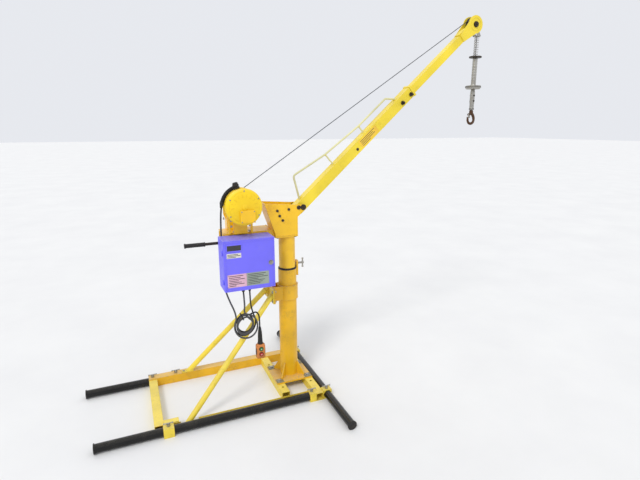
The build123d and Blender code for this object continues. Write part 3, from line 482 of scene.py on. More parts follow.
def make_materials():
    """Every look by name; tones are screen colours."""
    steel_worn = (96, 84, 72)
    return {
        "frame": finish("frame_yellow", (228, 176, 14), 0.38, dirt=0.55, worn=0.75, worn_tone=steel_worn,
                        dust=0.55, coat=0.15),
        "mast": finish("mast_yellow", (240, 190, 16), 0.32, dirt=0.5, dirt_tone=(158, 86, 22), worn=0.7,
                       worn_tone=steel_worn, dust=0.2, coat=0.25, dirt_scale=5.0),
        "motor": finish("motor_yellow", (250, 208, 14), 0.42, dirt=0.22, worn=0.4,
                        worn_tone=(150, 110, 30), dust=0.25, grain=420, bump=0.16),
        "boom": finish("boom_yellow", (238, 212, 48), 0.4, dirt=0.3, worn=0.6, worn_tone=(120, 104, 76),
                       dust=0.2, coat=0.1, dirt_scale=4.0),
        "truss": finish("truss_rod_pale", (214, 210, 160), 0.45, dirt=0.35, worn=0.4,
                        worn_tone=(140, 130, 96), dirt_scale=9.0),
        "tube": finish("black_enamel", (13, 12, 11), 0.18, dirt=0.25, dirt_tone=(74, 66, 56),
                       dirt_scale=9.0, worn=0.3, worn_tone=(104, 96, 86), dust=0.06, coat=0.25,
                       tone_shift=0.3, specular=0.22),
        "brace": finish("brace_lemon", (232, 206, 62), 0.4, dirt=0.5, dirt_tone=(128, 116, 52), worn=0.7,
                        worn_tone=steel_worn, dust=0.3, coat=0.1, dirt_scale=9.0),
        "foot": finish("foot_olive", (106, 104, 52), 0.55, dirt=0.7, worn=0.5, worn_tone=(120, 96, 60),
                       dust=0.6),
        "box": finish("box_periwinkle", (112, 106, 240), 0.44, dirt=0.22, dirt_tone=(150, 150, 190),
                      worn=0.35, worn_tone=(178, 176, 214), dust=0.3, dust_tone=(206, 204, 226), grain=900,
                      bump=0.2, tone_shift=0.06),
        "zinc": finish("zinc_steel", (168, 166, 160), 0.34, metal=0.9, dirt=0.5, dirt_tone=(110, 98, 80),
                       grain=500, bump=0.1),
        "dark": finish("dark_steel", (62, 56, 50), 0.42, metal=0.75, dirt=0.5, dirt_tone=(88, 60, 38),
                       grain=300, bump=0.2, worn=0.6, worn_tone=(150, 146, 140)),
        "hook": finish("forged_hook", (84, 58, 40), 0.5, metal=0.55, dirt=0.6, dirt_tone=(104, 66, 36),
                       grain=240, bump=0.35, worn=0.6, worn_tone=(150, 140, 128), dirt_scale=18.0),
        "rope": finish("rope_wire", (104, 106, 112), 0.38, metal=0.85, dirt=0.5, dirt_tone=(60, 54, 46),
                       dirt_scale=30.0, grain=900, bump=0.1, edge=0.4),
        "rubber": finish("black_rubber", (24, 22, 21), 0.58, dirt=0.5, dirt_tone=(96, 88, 76),
                         dirt_scale=16.0, grain=700, bump=0.18, sheen=0.05, edge=0.8),
        "lead": finish("lead_grey", (66, 66, 68), 0.52, dirt=0.4, dirt_tone=(122, 116, 104), dirt_scale=20.0,
                       grain=800, bump=0.12, edge=0.6),
        "conduit": finish("conduit_black", (26, 25, 26), 0.4, dirt=0.4, dirt_tone=(92, 86, 76), grain=500,
                          bump=0.1),
        "pendant": finish("pendant_orange", (196, 120, 58), 0.46, dirt=0.45, dirt_tone=(70, 50, 36),
                          dirt_scale=22.0, grain=900, bump=0.2, worn=0.3, worn_tone=(226, 170, 120)),
        "green": button("button_green", (38, 122, 62)),
        "red": button("button_red", (172, 34, 28)),
        "white": label("label_white", (222, 218, 206), 0.36, 0.35, dirt_tone=(150, 138, 110)),
        "label_boom": label("label_amber", (240, 196, 60), 0.32, 0.3, 9.0, dirt_tone=(170, 130, 60)),
        "ink": label("label_ink", (40, 42, 54), 0.4, 0.2),
        "pink": label("label_pink", (220, 176, 196), 0.36, 0.35),
        "grey_green": label("label_grey_green", (150, 162, 150), 0.34, 0.3),
        "glass": finish("window_black", (10, 10, 14), 0.07, coat=0.9, dirt=0.12, dirt_tone=(120, 120, 130),
                        dirt_scale=24.0, grain=300, bump=0.01, edge=0.4),
        "grey_plastic": finish("grey_plastic", (120, 120, 122), 0.45, dirt=0.2, grain=600, bump=0.12),
        "copper": finish("winding_copper", (176, 96, 52), 0.34, metal=0.8, dirt=0.3, grain=200, bump=0.3,
                         stretch=(1, 30, 1)),
        "bronze": finish("bush_bronze", (160, 116, 58), 0.36, metal=0.85, dirt=0.4, grain=300, bump=0.1),
    }


CAD_LOOKS = {
    "frame": ["far_rail", "column"],
    "brace": ["cross_members", "near_rail", "outrigger_clamps", "braces"],
    "mast": ["mast_tube", "head_side_plates", "head_frame", "winch_platform", "winch_stand", "gear_case",
             "drum"],
    "motor": ["motor_casing", "motor_cover"],
    "boom": ["boom_outer", "boom_inner", "tip_cheeks"],
    "truss": ["truss_rod"],
    "tube": ["near_leg", "far_leg", "outrigger"],
    "box": ["control_box", "box_door"],
    "zinc": ["frame_bolts", "slew_lock_screw", "shaft_bearings", "rotor", "countershaft", "drum_gear",
             "door_latch", "buffer_yoke", "hook_sleeve", "hook_swivel", "hook_latch"],
    "dark": ["head_bolts", "boom_bolts", "sheave", "sheave_pin", "buffer_disc"],
    "hook": ["hook"],
    "rope": ["drum_rope", "rope_lower", "rope_upper", "rope_wrap", "rope_fall", "buffer_spring"],
    "rubber": ["cable_glands", "pendant_boot", "handle_grip", "lead_hank", "motor_lead", "pendant_lead"],
    "pendant": ["pendant_body"],
    "green": ["up_button"],
    "red": ["down_button"],
    "glass": ["door_window"],
    "grey_plastic": ["control_gear"],
    "copper": ["stator"],
    "bronze": ["slew_bushes"],
}


def paint_frame():
    for look, names in CAD_LOOKS.items():
        for name in names:
            mesh = nodes[name].data
            mesh.materials.clear()
            mesh.materials.append(looks[look])


# ---- leads ----

def add_leads():
    """Motor and pendant leads, wound into one hank that a tie holds."""
    motor_turns = hank_turns(3, 142, 142 + 3 * 360 - 74, (74, 44), -186, -193, 0.4)
    motor = cord_curve("motor_lead_wound", MOTOR_LEAD + motor_turns + MOTOR_TAIL, 5.0)
    pendant_turns = hank_turns(2, 44, 44 - 2 * 360 + 26, (72, 52), -166, -165, 2.0)
    pendant = cord_curve("pendant_lead_wound", PENDANT_LEAD + pendant_turns + PENDANT_TAIL, 4.5)
    for lead, look, node in ((motor, "lead", "motor_lead"), (pendant, "rubber", "pendant_lead")):
        lead.data.materials.append(looks[look])
        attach(lead, "mast")
        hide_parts(node)
    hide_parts("lead_hank")
    tie = Shape()
    where = HANK + round_y(1, 112) * 58
    outward = (where - HANK).normalized()
    for shift in (-2.0, 2.4):
        loop = [where + outward * 23 * math.cos(a) + Y * 21 * math.sin(a) + Vector((1, 0, 0.35)) * shift
                for a in circle(40)]
        tie.tube(loop, 1.7, 8, closed=True)
    tie = tie.make("hank_tie", "mast", "black_rubber", "rubber", bevel=0)


# ---- hoist rope, drum winding and spring ----

def arc_points(centre, radius, start, end, step_deg=4):
    count = max(2, round(abs(end - start) / step_deg))
    return [centre + round_y(1, start + (end - start) * k / count) * radius for k in range(count + 1)]


def rope_run(a, b):
    """Points about 4 mm apart on a straight stretch."""
    count = round((b - a).length / 4)
    return [a.lerp(b, k / count) for k in range(count + 1)]


def add_rope():
    """Straight rope from the drum, its wrap over the sheave, and its fall into the sleeve."""
    gap = SHEAVE - WINCH
    slope = math.atan2(gap.z, gap.x) - math.asin((DRUM_LINE_R - WRAP_R) / gap.length)
    out = Vector((-math.sin(slope), 0, math.cos(slope)))
    start, touch = WINCH + out * DRUM_LINE_R, SHEAVE + out * WRAP_R
    back = (start - touch).normalized()
    far_end = touch + back * ROPE_LAP
    straight = Shape().strands(rope_run(start, far_end), ROPE_R)
    straight = straight.make("rope_straight_laid", None, "rope_steel", "rope",
                             replaces=["rope_lower", "rope_upper"], bevel=0, smooth=60)
    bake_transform(straight)
    wrap = rope_run(touch + back * WRAP_LAP, touch)
    wrap += arc_points(SHEAVE, WRAP_R, math.degrees(slope) + 90, 0)[1:]
    wrap = Shape().strands(wrap, ROPE_R - 0.15)
    wrap.make("rope_wrap_laid", "boom_tip", "rope_steel", "rope", replaces=["rope_wrap"], bevel=0,
              smooth=60)
    sleeve_top = Vector((HOOK_X, 0, DISC_Z - 6))
    side = SHEAVE + X * WRAP_R
    fall = Shape().strands(arc_points(SHEAVE, WRAP_R, 14, 0) + rope_run(side, sleeve_top)[1:], ROPE_R)
    fall = fall.make("rope_fall_laid", None, "rope_steel", "rope", replaces=["rope_fall"], bevel=0,
                     smooth=60)
    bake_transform(fall)


def add_drum_winding():
    """Rope laid on the drum, and the drum's flange edges."""
    winding = Shape()
    coil = []
    steps = 16 * 40
    for k in range(steps + 1):
        coil.append(WINCH + round_y(47.6, 132 - 9 * k, -41.0 + 82.0 * k / steps))
    winding.strands(coil, 2.45, lay=30)
    winding.make("drum_winding", "drum", "rope_steel", "rope", bevel=0, smooth=60)
    trim = Shape()
    for y, axis in ((-49.0, -1), (49.0, 1)):
        trim.ring_bar(78.6, 74.5, WINCH + Y * (y - 2 if axis < 0 else y - 2.6), Y, 4.6, 72)
        for k in range(6):
            trim.lathe([(9, 0), (9, 1.2), (6.5, 1.6)], WINCH + round_y(58, 60 * k + 15, y), Y * axis, 24)
    trim.make("drum_flange_trim", "drum", "yellow_paint", "mast", bevel=0.4)


def add_spring():
    """Coil of the over-hoist buffer."""
    top, low, wire = SHEAVE.z - YOKE_DROP, DISC_Z + 10, 1.9
    height = top - low - 2 * wire
    path = []
    turns = 11
    for k in range(turns * 24 + 1):
        angle = 2 * math.pi * k / 24
        path.append(Vector((HOOK_X + 14.5 * math.cos(angle), 14.5 * math.sin(angle),
                            low + wire + height * k / (turns * 24))))
    spring = Shape().tube(path, wire, 8).make("buffer_spring_coil", None, "zinc_steel", "zinc",
                                              replaces=["buffer_spring"], bevel=0)
    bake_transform(spring)


# ---- floor frame ----

def add_frame_details():
    """Welds, bolts, clamp screws and sleeve mouths of the floor frame."""
    welds = Shape()
    for y, side in ((FAR_RAIL_Y, 1), (NEAR_RAIL_Y, -1)):
        welds.weld([(-869, y, TUBE), (-823, y, TUBE)])
        welds.weld([(-821, y - side * 1.0, 4), (-821, y - side * 1.0, 48)], 2.0)
    for x in (-120, 70):
        welds.weld([(x + 2, FAR_RAIL_Y, TUBE + 0.4), (x + 48, FAR_RAIL_Y, TUBE + 0.4)])
        welds.weld([(x, FAR_RAIL_Y - 0.6, 3), (x, FAR_RAIL_Y - 0.6, TUBE)])
    welds.weld([(120, -302, TUBE), (120, -302, 4)])
    for y in (-CLAMP_Y, CLAMP_Y):
        for edge in (-22, 22):
            welds.weld([(121, y + edge, 3), (121, y + edge, TUBE)])
    welds.weld([(70, -305, TUBE + 1), (70, -252, TUBE + 1)])
    welds.weld([(33, NEAR_RAIL_Y, 3), (68, NEAR_RAIL_Y, 3)])
    welds.ring_weld((0, 0, FOOT_TOP + 1), Z, 58.6, 3.0)
    for turn in range(4):
        a = math.radians(45 + 90 * turn)
        out = Vector((math.cos(a), math.sin(a), 0))
        for s in (-4.6, 4.6):
            edge = Z.cross(out) * s
            welds.weld([out * 58 + edge + Z * 61, out * 109 + edge + Z * 61], 2.2)
            welds.weld([out * 57.6 + edge + Z * 64, out * 57.6 + edge + Z * 148], 2.2)
    low, high = BRACKET_Z
    for z in BRACKET_Z:
        welds.ring_weld((0, 0, z), Z, 64.2, 2.4)
    for y in (-46.5, -37.5, 37.5, 46.5):
        welds.weld([(-109.4, y, low + 2), (-109.4, y, high - 2)], 2.0)
    welds.weld([(69.4, -14, 736), (60, -14, 736)], 1.8)
    for y, side in ((62, 1), (-62, -1)):
        welds.ring_weld((-126, y, 640), (-0.7, 0.2 * side, -0.75), 18.0, 2.2)
    welds.make_welds("frame_welds", "base", "frame")

    bolts = Shape()
    for x in (-FOOT_BOLT_X, FOOT_BOLT_X):
        for y in (-FOOT_BOLT_Y, FOOT_BOLT_Y):
            bolts.lathe([(15, 0), (15, 2.2), (13.6, 2.6)], (x, y, FOOT_TOP), Z, 32)
            bolts.bolt_head((x, y, FOOT_TOP + 2.4), Z, 19, washer=False)
    for x, y in ((-800, NEAR_Y), (50, NEAR_Y), (-845, FAR_Y), (-700, FAR_Y), (OUTRIGGER_X, -CLAMP_Y),
                 (OUTRIGGER_X, CLAMP_Y)):
        bolts.ring_bar(9.5, 5.2, (x, y, 56), Z, 5.8, 28)
        bolts.lathe([(5, 0), (5, 5), (4, 6)], (x, y, 69), Z, 16)
        bolts.tube([(x - 20, y, 74), (x + 20, y, 74)], 3.4, 10)
        for end in (-1, 1):
            bolts.lathe([(3.4, 0), (5.2, 1.6), (5.2, 5), (3.0, 7)], (x + 20 * end, y, 74), X * end, 14)
    for side in (-1, 1):
        for z in BRACE_BOLT_Z:
            bolts.lathe([(8.6, 0), (8.6, 1.4)], (-118 - 6.2, side * 82, z), -X, 24)
            bolts.bolt_head((-110, side * 82, z), X, 13)
    bolts.make("frame_fasteners", "base", "zinc_steel", "zinc", bevel=0.4)

    collars = Shape()
    for x0, x1 in SLEEVES_X:
        for x in (x0, x1 - 4):
            collars.ring_bar(27.9, 25.2, (x, NEAR_Y, LEG_Z), X, 4, 48)
    collars.make("sleeve_mouths", "base", "yellow_paint", "frame", bevel=0.5)


def add_floor_pads():
    """Shims under the foot bolts."""
    plates = Shape()
    for x in (-FOOT_BOLT_X, FOOT_BOLT_X):
        for y in (-FOOT_BOLT_Y, FOOT_BOLT_Y):
            plates.block((x - 24, x + 24), (y - 24, y + 24), (FOOT_TOP, FOOT_TOP + 0.8))
    plates.make("foot_shims", "base", "yellow_paint", "foot", bevel=0.2)


def add_plugs():
    """Ribbed plastic plugs in the ends of the black tubes."""
    ends = [("near_leg", (-1174, NEAR_Y, LEG_Z), -X), ("far_leg", (-1241, FAR_Y, LEG_Z), -X),
            ("outrigger", (OUTRIGGER_X, -OUTRIGGER_END, LEG_Z), -Y),
            ("outrigger", (OUTRIGGER_X, OUTRIGGER_END, LEG_Z), Y)]
    for number, (body, place, out) in enumerate(ends):
        plug = Shape()
        profile = [(27.9, -5), (28, -1), (26.5, 0.6), (20, 1.4), (18.5, 0.2), (6, 0.2), (5, 1.2), (0, 1.2)]
        plug.lathe(profile, place, out, 48)
        for ray in spokes(*across(out), 8):
            plug.slab(Vector(place) + out * 0.6 + ray * 12.2, ray, out, out.cross(ray), (12.6, 1.4, 1.6))
        plug.make(f"tube_plug_{number}", body, "black_tube", "rubber", bevel=0.2, smooth=40)


# ---- mast and head ----

def add_mast_details():
    """Welds, wiper ring and head washers of the mast."""
    welds = Shape()
    welds.ring_weld((0, 0, 999), Z, 52.4, 3.0)
    for y in (-60.6, 60.6):
        welds.weld([(-88, y, 1010.5), (50, y, 1010.5)], 2.4)
    for y in (-34, 116):
        welds.weld([(-86, y, 1049), (-86, y + 2, 1049)], 2.0)
    welds.weld([(-99, -34, 1049.4), (-99, 116, 1049.4)], 2.6)
    for x in (-392, -307):
        welds.weld([(x - 4.6, -16, 1039), (x - 4.6, 16, 1039)], 2.0)
        welds.ring_weld((x - 4.6, 0, GRIP_Z), X, 9.0, 1.8)
    for y in (-51.4, 51.4):
        welds.weld([(-86, y, 1019), (-150, y, 1205)], 2.0)
    welds.make_welds("mast_welds", "mast", "mast")

    ring = Shape()
    ring.ring_bar(57.0, 51.2, (0, 0, 785.4), Z, 7.0, 64)
    ring.lathe([(56.2, 792.4), (51.6, 797), (51.2, 797), (51.2, 792.4)], (0, 0, 0), Z, 64, closed=True)
    ring.make("mast_wiper_ring", "mast", "black_rubber", "rubber", bevel=0.3)

    edges = Shape()
    for out in (-1, 1):
        y = 60 * out
        for x, z in ((-76, 1166), (-62, 1134), (-43, 1106), (-4, 1170)):
            edges.lathe([(8.4, 0), (8.4, 1.6), (7.6, 2.0)], (x, y, z), Y * out, 28)
            edges.bolt_head((x, y + 1.8 * out, z), Y * out, 13.2, washer=False)
        edges.lathe([(18, 0), (18, 2.4), (16.4, 3.0)], on_boom(20, 0, y), Y * out, 40)
        edges.lathe([(13, 0), (13, 2.2), (12, 2.8)], on_boom(-2, 20, y), Y * out, 32)
    edges.make("head_washers", "mast", "dark_steel", "dark", bevel=0.3)


def add_platform_details():
    """Mounting bolts, lead ties and the slewing handle's grip."""
    bolts = Shape()
    for x in (-362, -334, -270, -242):
        bolts.bolt_head((x, -30, 1054), Z, 13)
    for x in (-345, -255):
        for y in (62, 110):
            bolts.bolt_head((x, y, PLATFORM_TOP), Z, 13)
    for x in (-354, -246):
        for z in (1095, 1128):
            bolts.bolt_head((x, -58, z), -Y, 11)
    bolts.make("winch_mount_bolts", "mast", "zinc_steel", "zinc", bevel=0.4)
    clips = Shape()
    for z, y in ((1005, -22.5), (905, -22.3), (800, -22.7)):
        loop = [Vector((-407.5 + 7.2 * math.cos(a), y + 7.2 * math.sin(a), z)) for a in circle(28)]
        clips.tube(loop, 1.5, 8, closed=True)
        clips.block((-409, -403), (y + 6.5, y + 10), (z - 2, z + 2))
    clips.make("lead_ties", "mast", "black_rubber", "rubber", bevel=0.2)
    grip = Shape()
    profile = [(8.4, -617), (13.4, -617), (14.2, -614), (14.2, -610), (11.6, -607)]
    for k in range(13):
        x = -605 + k * 7.6
        profile += [(11.6, x), (12.5, x + 1.4), (12.5, x + 4.4), (11.6, x + 5.8)]
    profile += [(11.8, -505), (14.0, -503), (14.0, -500.2), (8.4, -500)]
    grip.lathe([(r, x + 617) for r, x in profile], (-617, 0, GRIP_Z), X, 40)
    grip.make("handle_grip_ribbed", "mast", "black_rubber", "rubber", replaces=["handle_grip"],
              bevel=0.3, smooth=50)
    bar = Shape()
    bar.ring_bar(8.5, 7.8, (-500, 0, GRIP_Z), X, 100, 32)
    bar.make("handle_bar_sleeve", "mast", "dark_steel", "dark", bevel=0)


# ---- winch ----

def ring_place(reach, angle, y):
    """Place at an angle round the winch axis."""
    return WINCH + round_y(reach, angle, y)


def add_motor():
    """Ribs, cover crown, louvres, screws, terminal lid and blank plate of the motor."""
    body = Shape()
    for y in (-150.5, -128, -105, -82, -60.5):
        body.ring_bar(MOTOR_R + 1.6, MOTOR_R - 1, WINCH + Y * (y - 1.6), Y, 3.2, 96)
    for angle in range(200, 341, 14):
        out = round_y(1, angle)
        body.slab(ring_place(MOTOR_R + 1.2, angle, -105), out, Y, Y.cross(out), (4.4, 84, 3.2))
    body.make("motor_casing_ribs", "mast", "yellow_paint", "motor", bevel=0.6)

    cover = Shape()
    cover.ring_bar(COVER_R + 0.8, COVER_R - 6, WINCH + Y * -153.5, Y, 4.5, 96)
    profile = [(86, 0), (82, 2.2), (56, 4.6), (30, 5.6), (0, 5.8)]
    cover.lathe(profile, WINCH + Y * -175.8, -Y, 96)
    cover.make("motor_cover_crown", "mast", "yellow_paint", "motor", bevel=0.5, smooth=28)

    vents = Shape()
    for angle in range(0, 360, 20):
        if 190 < angle < 350:
            continue
        out = round_y(1, angle)
        vents.slab(ring_place(66, angle, -179.4), out, Y, Y.cross(out), (22, 3.0, 5.0))
    vents.lathe([(17, 0), (17, 1.6), (14, 3.0), (0, 3.4)], WINCH + Y * -181.0, -Y, 48)
    vents.make("motor_cover_louvres", "mast", "yellow_paint", "motor", bevel=1.3, smooth=40)

    screws = Shape()
    for angle in (30, 90, 150, 210, 330):
        screws.screw_head(ring_place(92, angle, -175.2), -Y, 4.2)
    for x in (-323, -253):
        for z in (1143, 1199):
            screws.screw_head((x, -199.6, z), -Y, 3.6)
    for y in (-138, -72):
        for angle in (20, 160):
            screws.screw_head(ring_place(MOTOR_R, angle, y), round_y(1, angle), 4.0)
    screws.make("motor_screws", "mast", "zinc_steel", "zinc", bevel=0.2)

    terminal = Shape()
    lid = [(-330, 1136), (-246, 1136), (-246, 1206), (-330, 1206)]
    terminal.rings([[(x, -193, z) for x, z in lid], [(x, -199, z) for x, z in lid],
                    [(-288 + (x + 288) * 0.93, -200.4, 1171 + (z - 1171) * 0.92) for x, z in lid]])
    terminal.make("terminal_lid", "mast", "yellow_paint", "mast", bevel=1.2)
    gasket = Shape()
    gasket.block((-329, -247), (-193.6, -191.6), (1137, 1205))
    gasket.make("terminal_gasket", "mast", "black_rubber", "rubber", bevel=0.3)

    plate, rings = Shape(), []
    for angle in range(146, 179, 3):
        low, high = (ring_place(MOTOR_R + reach, angle, 0) for reach in (0.2, 1.0))
        rings.append([low - Y * 98, low - Y * 66, high - Y * 66, high - Y * 98])
    plate.rings(rings)
    plate.make("motor_rating_plate", "mast", "yellow_paint", "white", bevel=0)


def add_conduit():
    """Corrugated conduit round the casing, with its gland nuts."""
    conduit = Shape()
    path, radii = [], []
    count = 150
    start, end = 106, 168
    for k in range(count + 1):
        path.append(ring_place(CONDUIT_R, start + (end - start) * k / count, CONDUIT_Y))
        radii.append(11.6 if k % 4 < 2 else 10.2)
    conduit.tube(path, radii, 20)
    last = path[-1]
    down = Vector((-0.24, 0, -0.97)).normalized()
    conduit.lathe([(12.4, -6), (12.4, 6), (10, 14), (7.2, 26), (6, 30), (0, 30)], last, down, 28)
    conduit.make("conduit_corrugated", "mast", "black_rubber", "conduit", bevel=0, smooth=50)
    nut = Shape()
    out = round_y(1, 104)
    base = WINCH + Y * CONDUIT_Y + out * 102
    nut.hexagon(base, out, 36, 9)
    nut.hexagon(base + out * 12, out, 33, 12)
    nut.lathe([(15.5, 0), (15.5, 8), (12, 12)], base + out * 22, out, 32)
    for x, width, foot in GLANDS:
        nut.hexagon((x, GLAND_Y, BOX_Z[0]), -Z, width, 7)
        nut.hexagon((x, GLAND_Y, BOX_Z[0] - 8), -Z, width * 0.88, 8)
        profile = [(0.36, 0), (0.33, 4), (0.26, 725 - foot), (0.2, 727 - foot)]
        nut.lathe([(width * share, h) for share, h in profile], (x, GLAND_Y, 726), -Z, 24)
        for k in range(3):
            nut.ring_bar(width * 0.345, width * 0.2, (x, GLAND_Y, 722 - 3.4 * k), Z, 1.6, 24)
    nut.make("gland_nuts", "mast", "black_rubber", "rubber", replaces=["cable_glands"], bevel=0.5)


def add_gear_case_details():
    """Ribs, caps and bolts of the gear case."""
    bolts, ribs = Shape(), Shape()
    for angle in range(0, 181, 36):
        bolts.bolt_head(ring_place(65.6, angle, 84), -Y, 5.6, washer=False)
        bolts.bolt_head(ring_place(65.6, angle, 90), Y, 5.6, washer=False)
    for angle in (30, 90, 150):
        out = round_y(1, angle)
        ribs.slab(ring_place(36, angle, 117), out, Y, Y.cross(out), (44, 4, 5))
    for side in (-1, 1):
        ribs.slab((WINCH.x + side * 34, 117, WINCH.z - 70), X, Y, Z, (5, 4, 60))
    ribs.lathe([(26, 0), (26, 5), (22, 7), (14, 7), (12, 5), (0, 5)], WINCH + Y * 115.8, Y, 48)
    ribs.lathe([(22, 0), (22, 4), (19, 6), (0, 6)], WINCH + Y * 115.8 - Z * GEAR_DROP, Y, 40)
    ribs.make("gear_case_ribs", "mast", "yellow_paint", "mast", bevel=0.7)
    for angle in range(45, 360, 90):
        bolts.screw_head(ring_place(22, angle, 121.4), Y, 2.6)
    bolts.hexagon((WINCH.x + 30, 70, WINCH.z + 53), Z, 15, 9)
    bolts.hexagon((WINCH.x - 62, 100, WINCH.z - 105), -X, 14, 6)
    bolts.make("gear_case_bolts", "mast", "zinc_steel", "zinc", bevel=0.3)


# ---- control box ----

def bars(shape, x, z, y, widths, pitch, height):
    """Rows of blank bars that stand for print."""
    for k, width in enumerate(widths):
        low = z - pitch * k
        shape.block((x, x + width), (y - 0.12, y), (low - height, low))


def add_box_details():
    """Door trim, blank labels, folded edges, seal and wiring of the control box."""
    face = DOOR_Y
    trim = Shape()
    for x in ((-424, -418), (-147, -141)):
        trim.block(x, (face - 1.2, face), (750, 1029))
    for z in ((748, 753), (1026, 1031)):
        trim.block((-424, -141), (face - 1.2, face), z)
    trim.make("door_rim", "door", "box_blue", "box", bevel=0.8)
    bezel = Shape()
    x0, x1, z0, z1 = WINDOW
    outer = [(x0, z0), (x1, z0), (x1, z1), (x0, z1)]
    inner = [(x0 + 5, z0 + 5), (x1 - 5, z0 + 5), (x1 - 5, z1 - 5), (x0 + 5, z1 - 5)]
    rings = ((face + 0.5, outer), (face - 2.6, outer), (face - 2.6, inner), (face + 0.5, inner))
    bezel.rings([[(px, y, pz) for px, pz in ring] for y, ring in rings], closed=True)
    for px, pz in ((x0 + 2.5, z0 + 2.5), (x1 - 2.5, z0 + 2.5), (x1 - 2.5, z1 - 2.5), (x0 + 2.5, z1 - 2.5)):
        bezel.screw_head((px, face - 2.4, pz), -Y, 1.9)
    bezel.make("window_bezel", "door", "black_gloss", "box", bevel=0.6)
    inside = Shape()
    for k in range(3):
        inside.block((-403 + 26 * k, -385 + 26 * k), (face + 2.9, face + 3.6), (985, 1006))
    inside.make("window_meter_tiles", "door", "grey_plastic", "ink", bevel=0.3)

    for name, x, z, look in (("upper", (-413, -331), (938, 965), "white"),
                             ("pink", (-414, LABEL_SPLIT_X), LABEL_Z, "pink"),
                             ("grey", (LABEL_SPLIT_X, -172), LABEL_Z, "grey_green")):
        film = Shape()
        film.block(x, (face - 0.4, face + 0.1), z)
        film.make("door_label_" + name, "door", "box_blue", look, bevel=0)
    marks = Shape()
    bars(marks, -409, 960, face - 0.42, (60, 74, 48), 7.5, 3.4)
    bars(marks, -406, 834, face - 0.42, (82, 66, 90, 54, 72, 88, 40), 9.6, 3.6)
    bars(marks, -296, 834, face - 0.42, (104, 92, 116, 60, 98, 84, 70), 9.6, 3.2)
    marks.block((LABEL_SPLIT_X - 0.4, LABEL_SPLIT_X + 0.4), (face - 0.6, face - 0.4), LABEL_Z)
    marks.make("door_label_bars", "door", "black_gloss", "ink", bevel=0)

    rivets = Shape()
    for px in (-410, -176):
        for pz in (LABEL_Z[0] + 4, LABEL_Z[1] - 4):
            rivets.lathe([(2.6, 0), (2.3, 1.0), (1.2, 1.7), (0, 1.8)], (px, face - 0.4, pz), -Y, 18)
    rivets.ring_bar(14.5, 11.2, (DOOR_LATCH[0], face, DOOR_LATCH[1]), -Y, 1.6, 40)
    rivets.make("door_rivets", "door", "zinc_steel", "zinc", bevel=0.2)

    shell = Shape()
    shell.block((-430, -135), (-163.0, -160.2), (1031, 1036.4))
    for x0, x1 in ((-431.6, -428), (-137, -133.4)):
        shell.block((x0, x1), (-159.7, -157.4), (742, 1037))
    shell.block(BOX_X, (-159.7, -157.4), (1036.4, 1038.6))
    for z in (800, 980):
        shell.block((-380, -190), (-36.4, -34.4), (z - 12, z + 12))
    shell.make("box_folded_edges", "mast", "box_blue", "box", bevel=0.6)
    seal = Shape()
    for xs, zs in (((-427, -423), (746, 1033)), ((-142, -138), (746, 1033)), ((-427, -138), (745, 749)),
                   ((-427, -138), (1030, 1034))):
        seal.block(xs, (-162.4, -160.2), zs)
    seal.make("box_seal", "mast", "black_rubber", "rubber", bevel=0.4)
    feet = Shape()
    for x in (-370, -195):
        for z in (800, 980):
            feet.bolt_head((x, -38, z), -Y, 9)
    for x in (-415, -150):
        for z in (757, 1022):
            feet.screw_head((x, -44, z), -Y, 3.2)
    feet.make("box_back_bolts", "mast", "zinc_steel", "zinc", bevel=0.2)

    wiring, gear = Shape(), Shape()
    for x in (-395, -335, -275):
        gear.block((x + 4, x + 41), (-121, -115.8), (934, 986))
        gear.block((x + 15, x + 30), (-123.6, -121), (950, 970))
        for k in range(4):
            for z in (926, 994):
                gear.screw_head((x + 6 + 11 * k, -116, z), -Y, 2.6)
    for k in range(16):
        gear.block((-398 + 13.6 * k, -388 + 13.6 * k), (-80, -75.8), (797, 818))
    gear.make("control_gear_faces", "mast", "grey_plastic", "conduit", bevel=0.5)
    for k in range(12):
        x = -392 + 17.6 * k
        target = -389 + 11 * (k % 4) + 60 * (k // 4)
        path = []
        for s in range(17):
            t = s / 16
            ease = 3 * t * t - 2 * t ** 3
            bow = 30 * math.sin(math.pi * t) * 0.8
            path.append(Vector((x + (target - x) * ease, -82 - bow - 33 * t, 818 + (926 - 818) * t)))
        wiring.tube(path, 1.7, 8)
    wiring.make("control_wiring", "mast", "black_rubber", "red", bevel=0)


# ---- pendant ----

def rounded(width, depth, corner, steps=5):
    """Outline of a rectangle with round corners."""
    outline = []
    for k, (sx, sy) in enumerate(((1, 1), (-1, 1), (-1, -1), (1, -1))):
        for s in range(steps + 1):
            a = math.radians(90 * k + 90 * s / steps)
            outline.append((sx * (width / 2 - corner) + corner * math.cos(a),
                            sy * (depth / 2 - corner) + corner * math.sin(a)))
    return outline


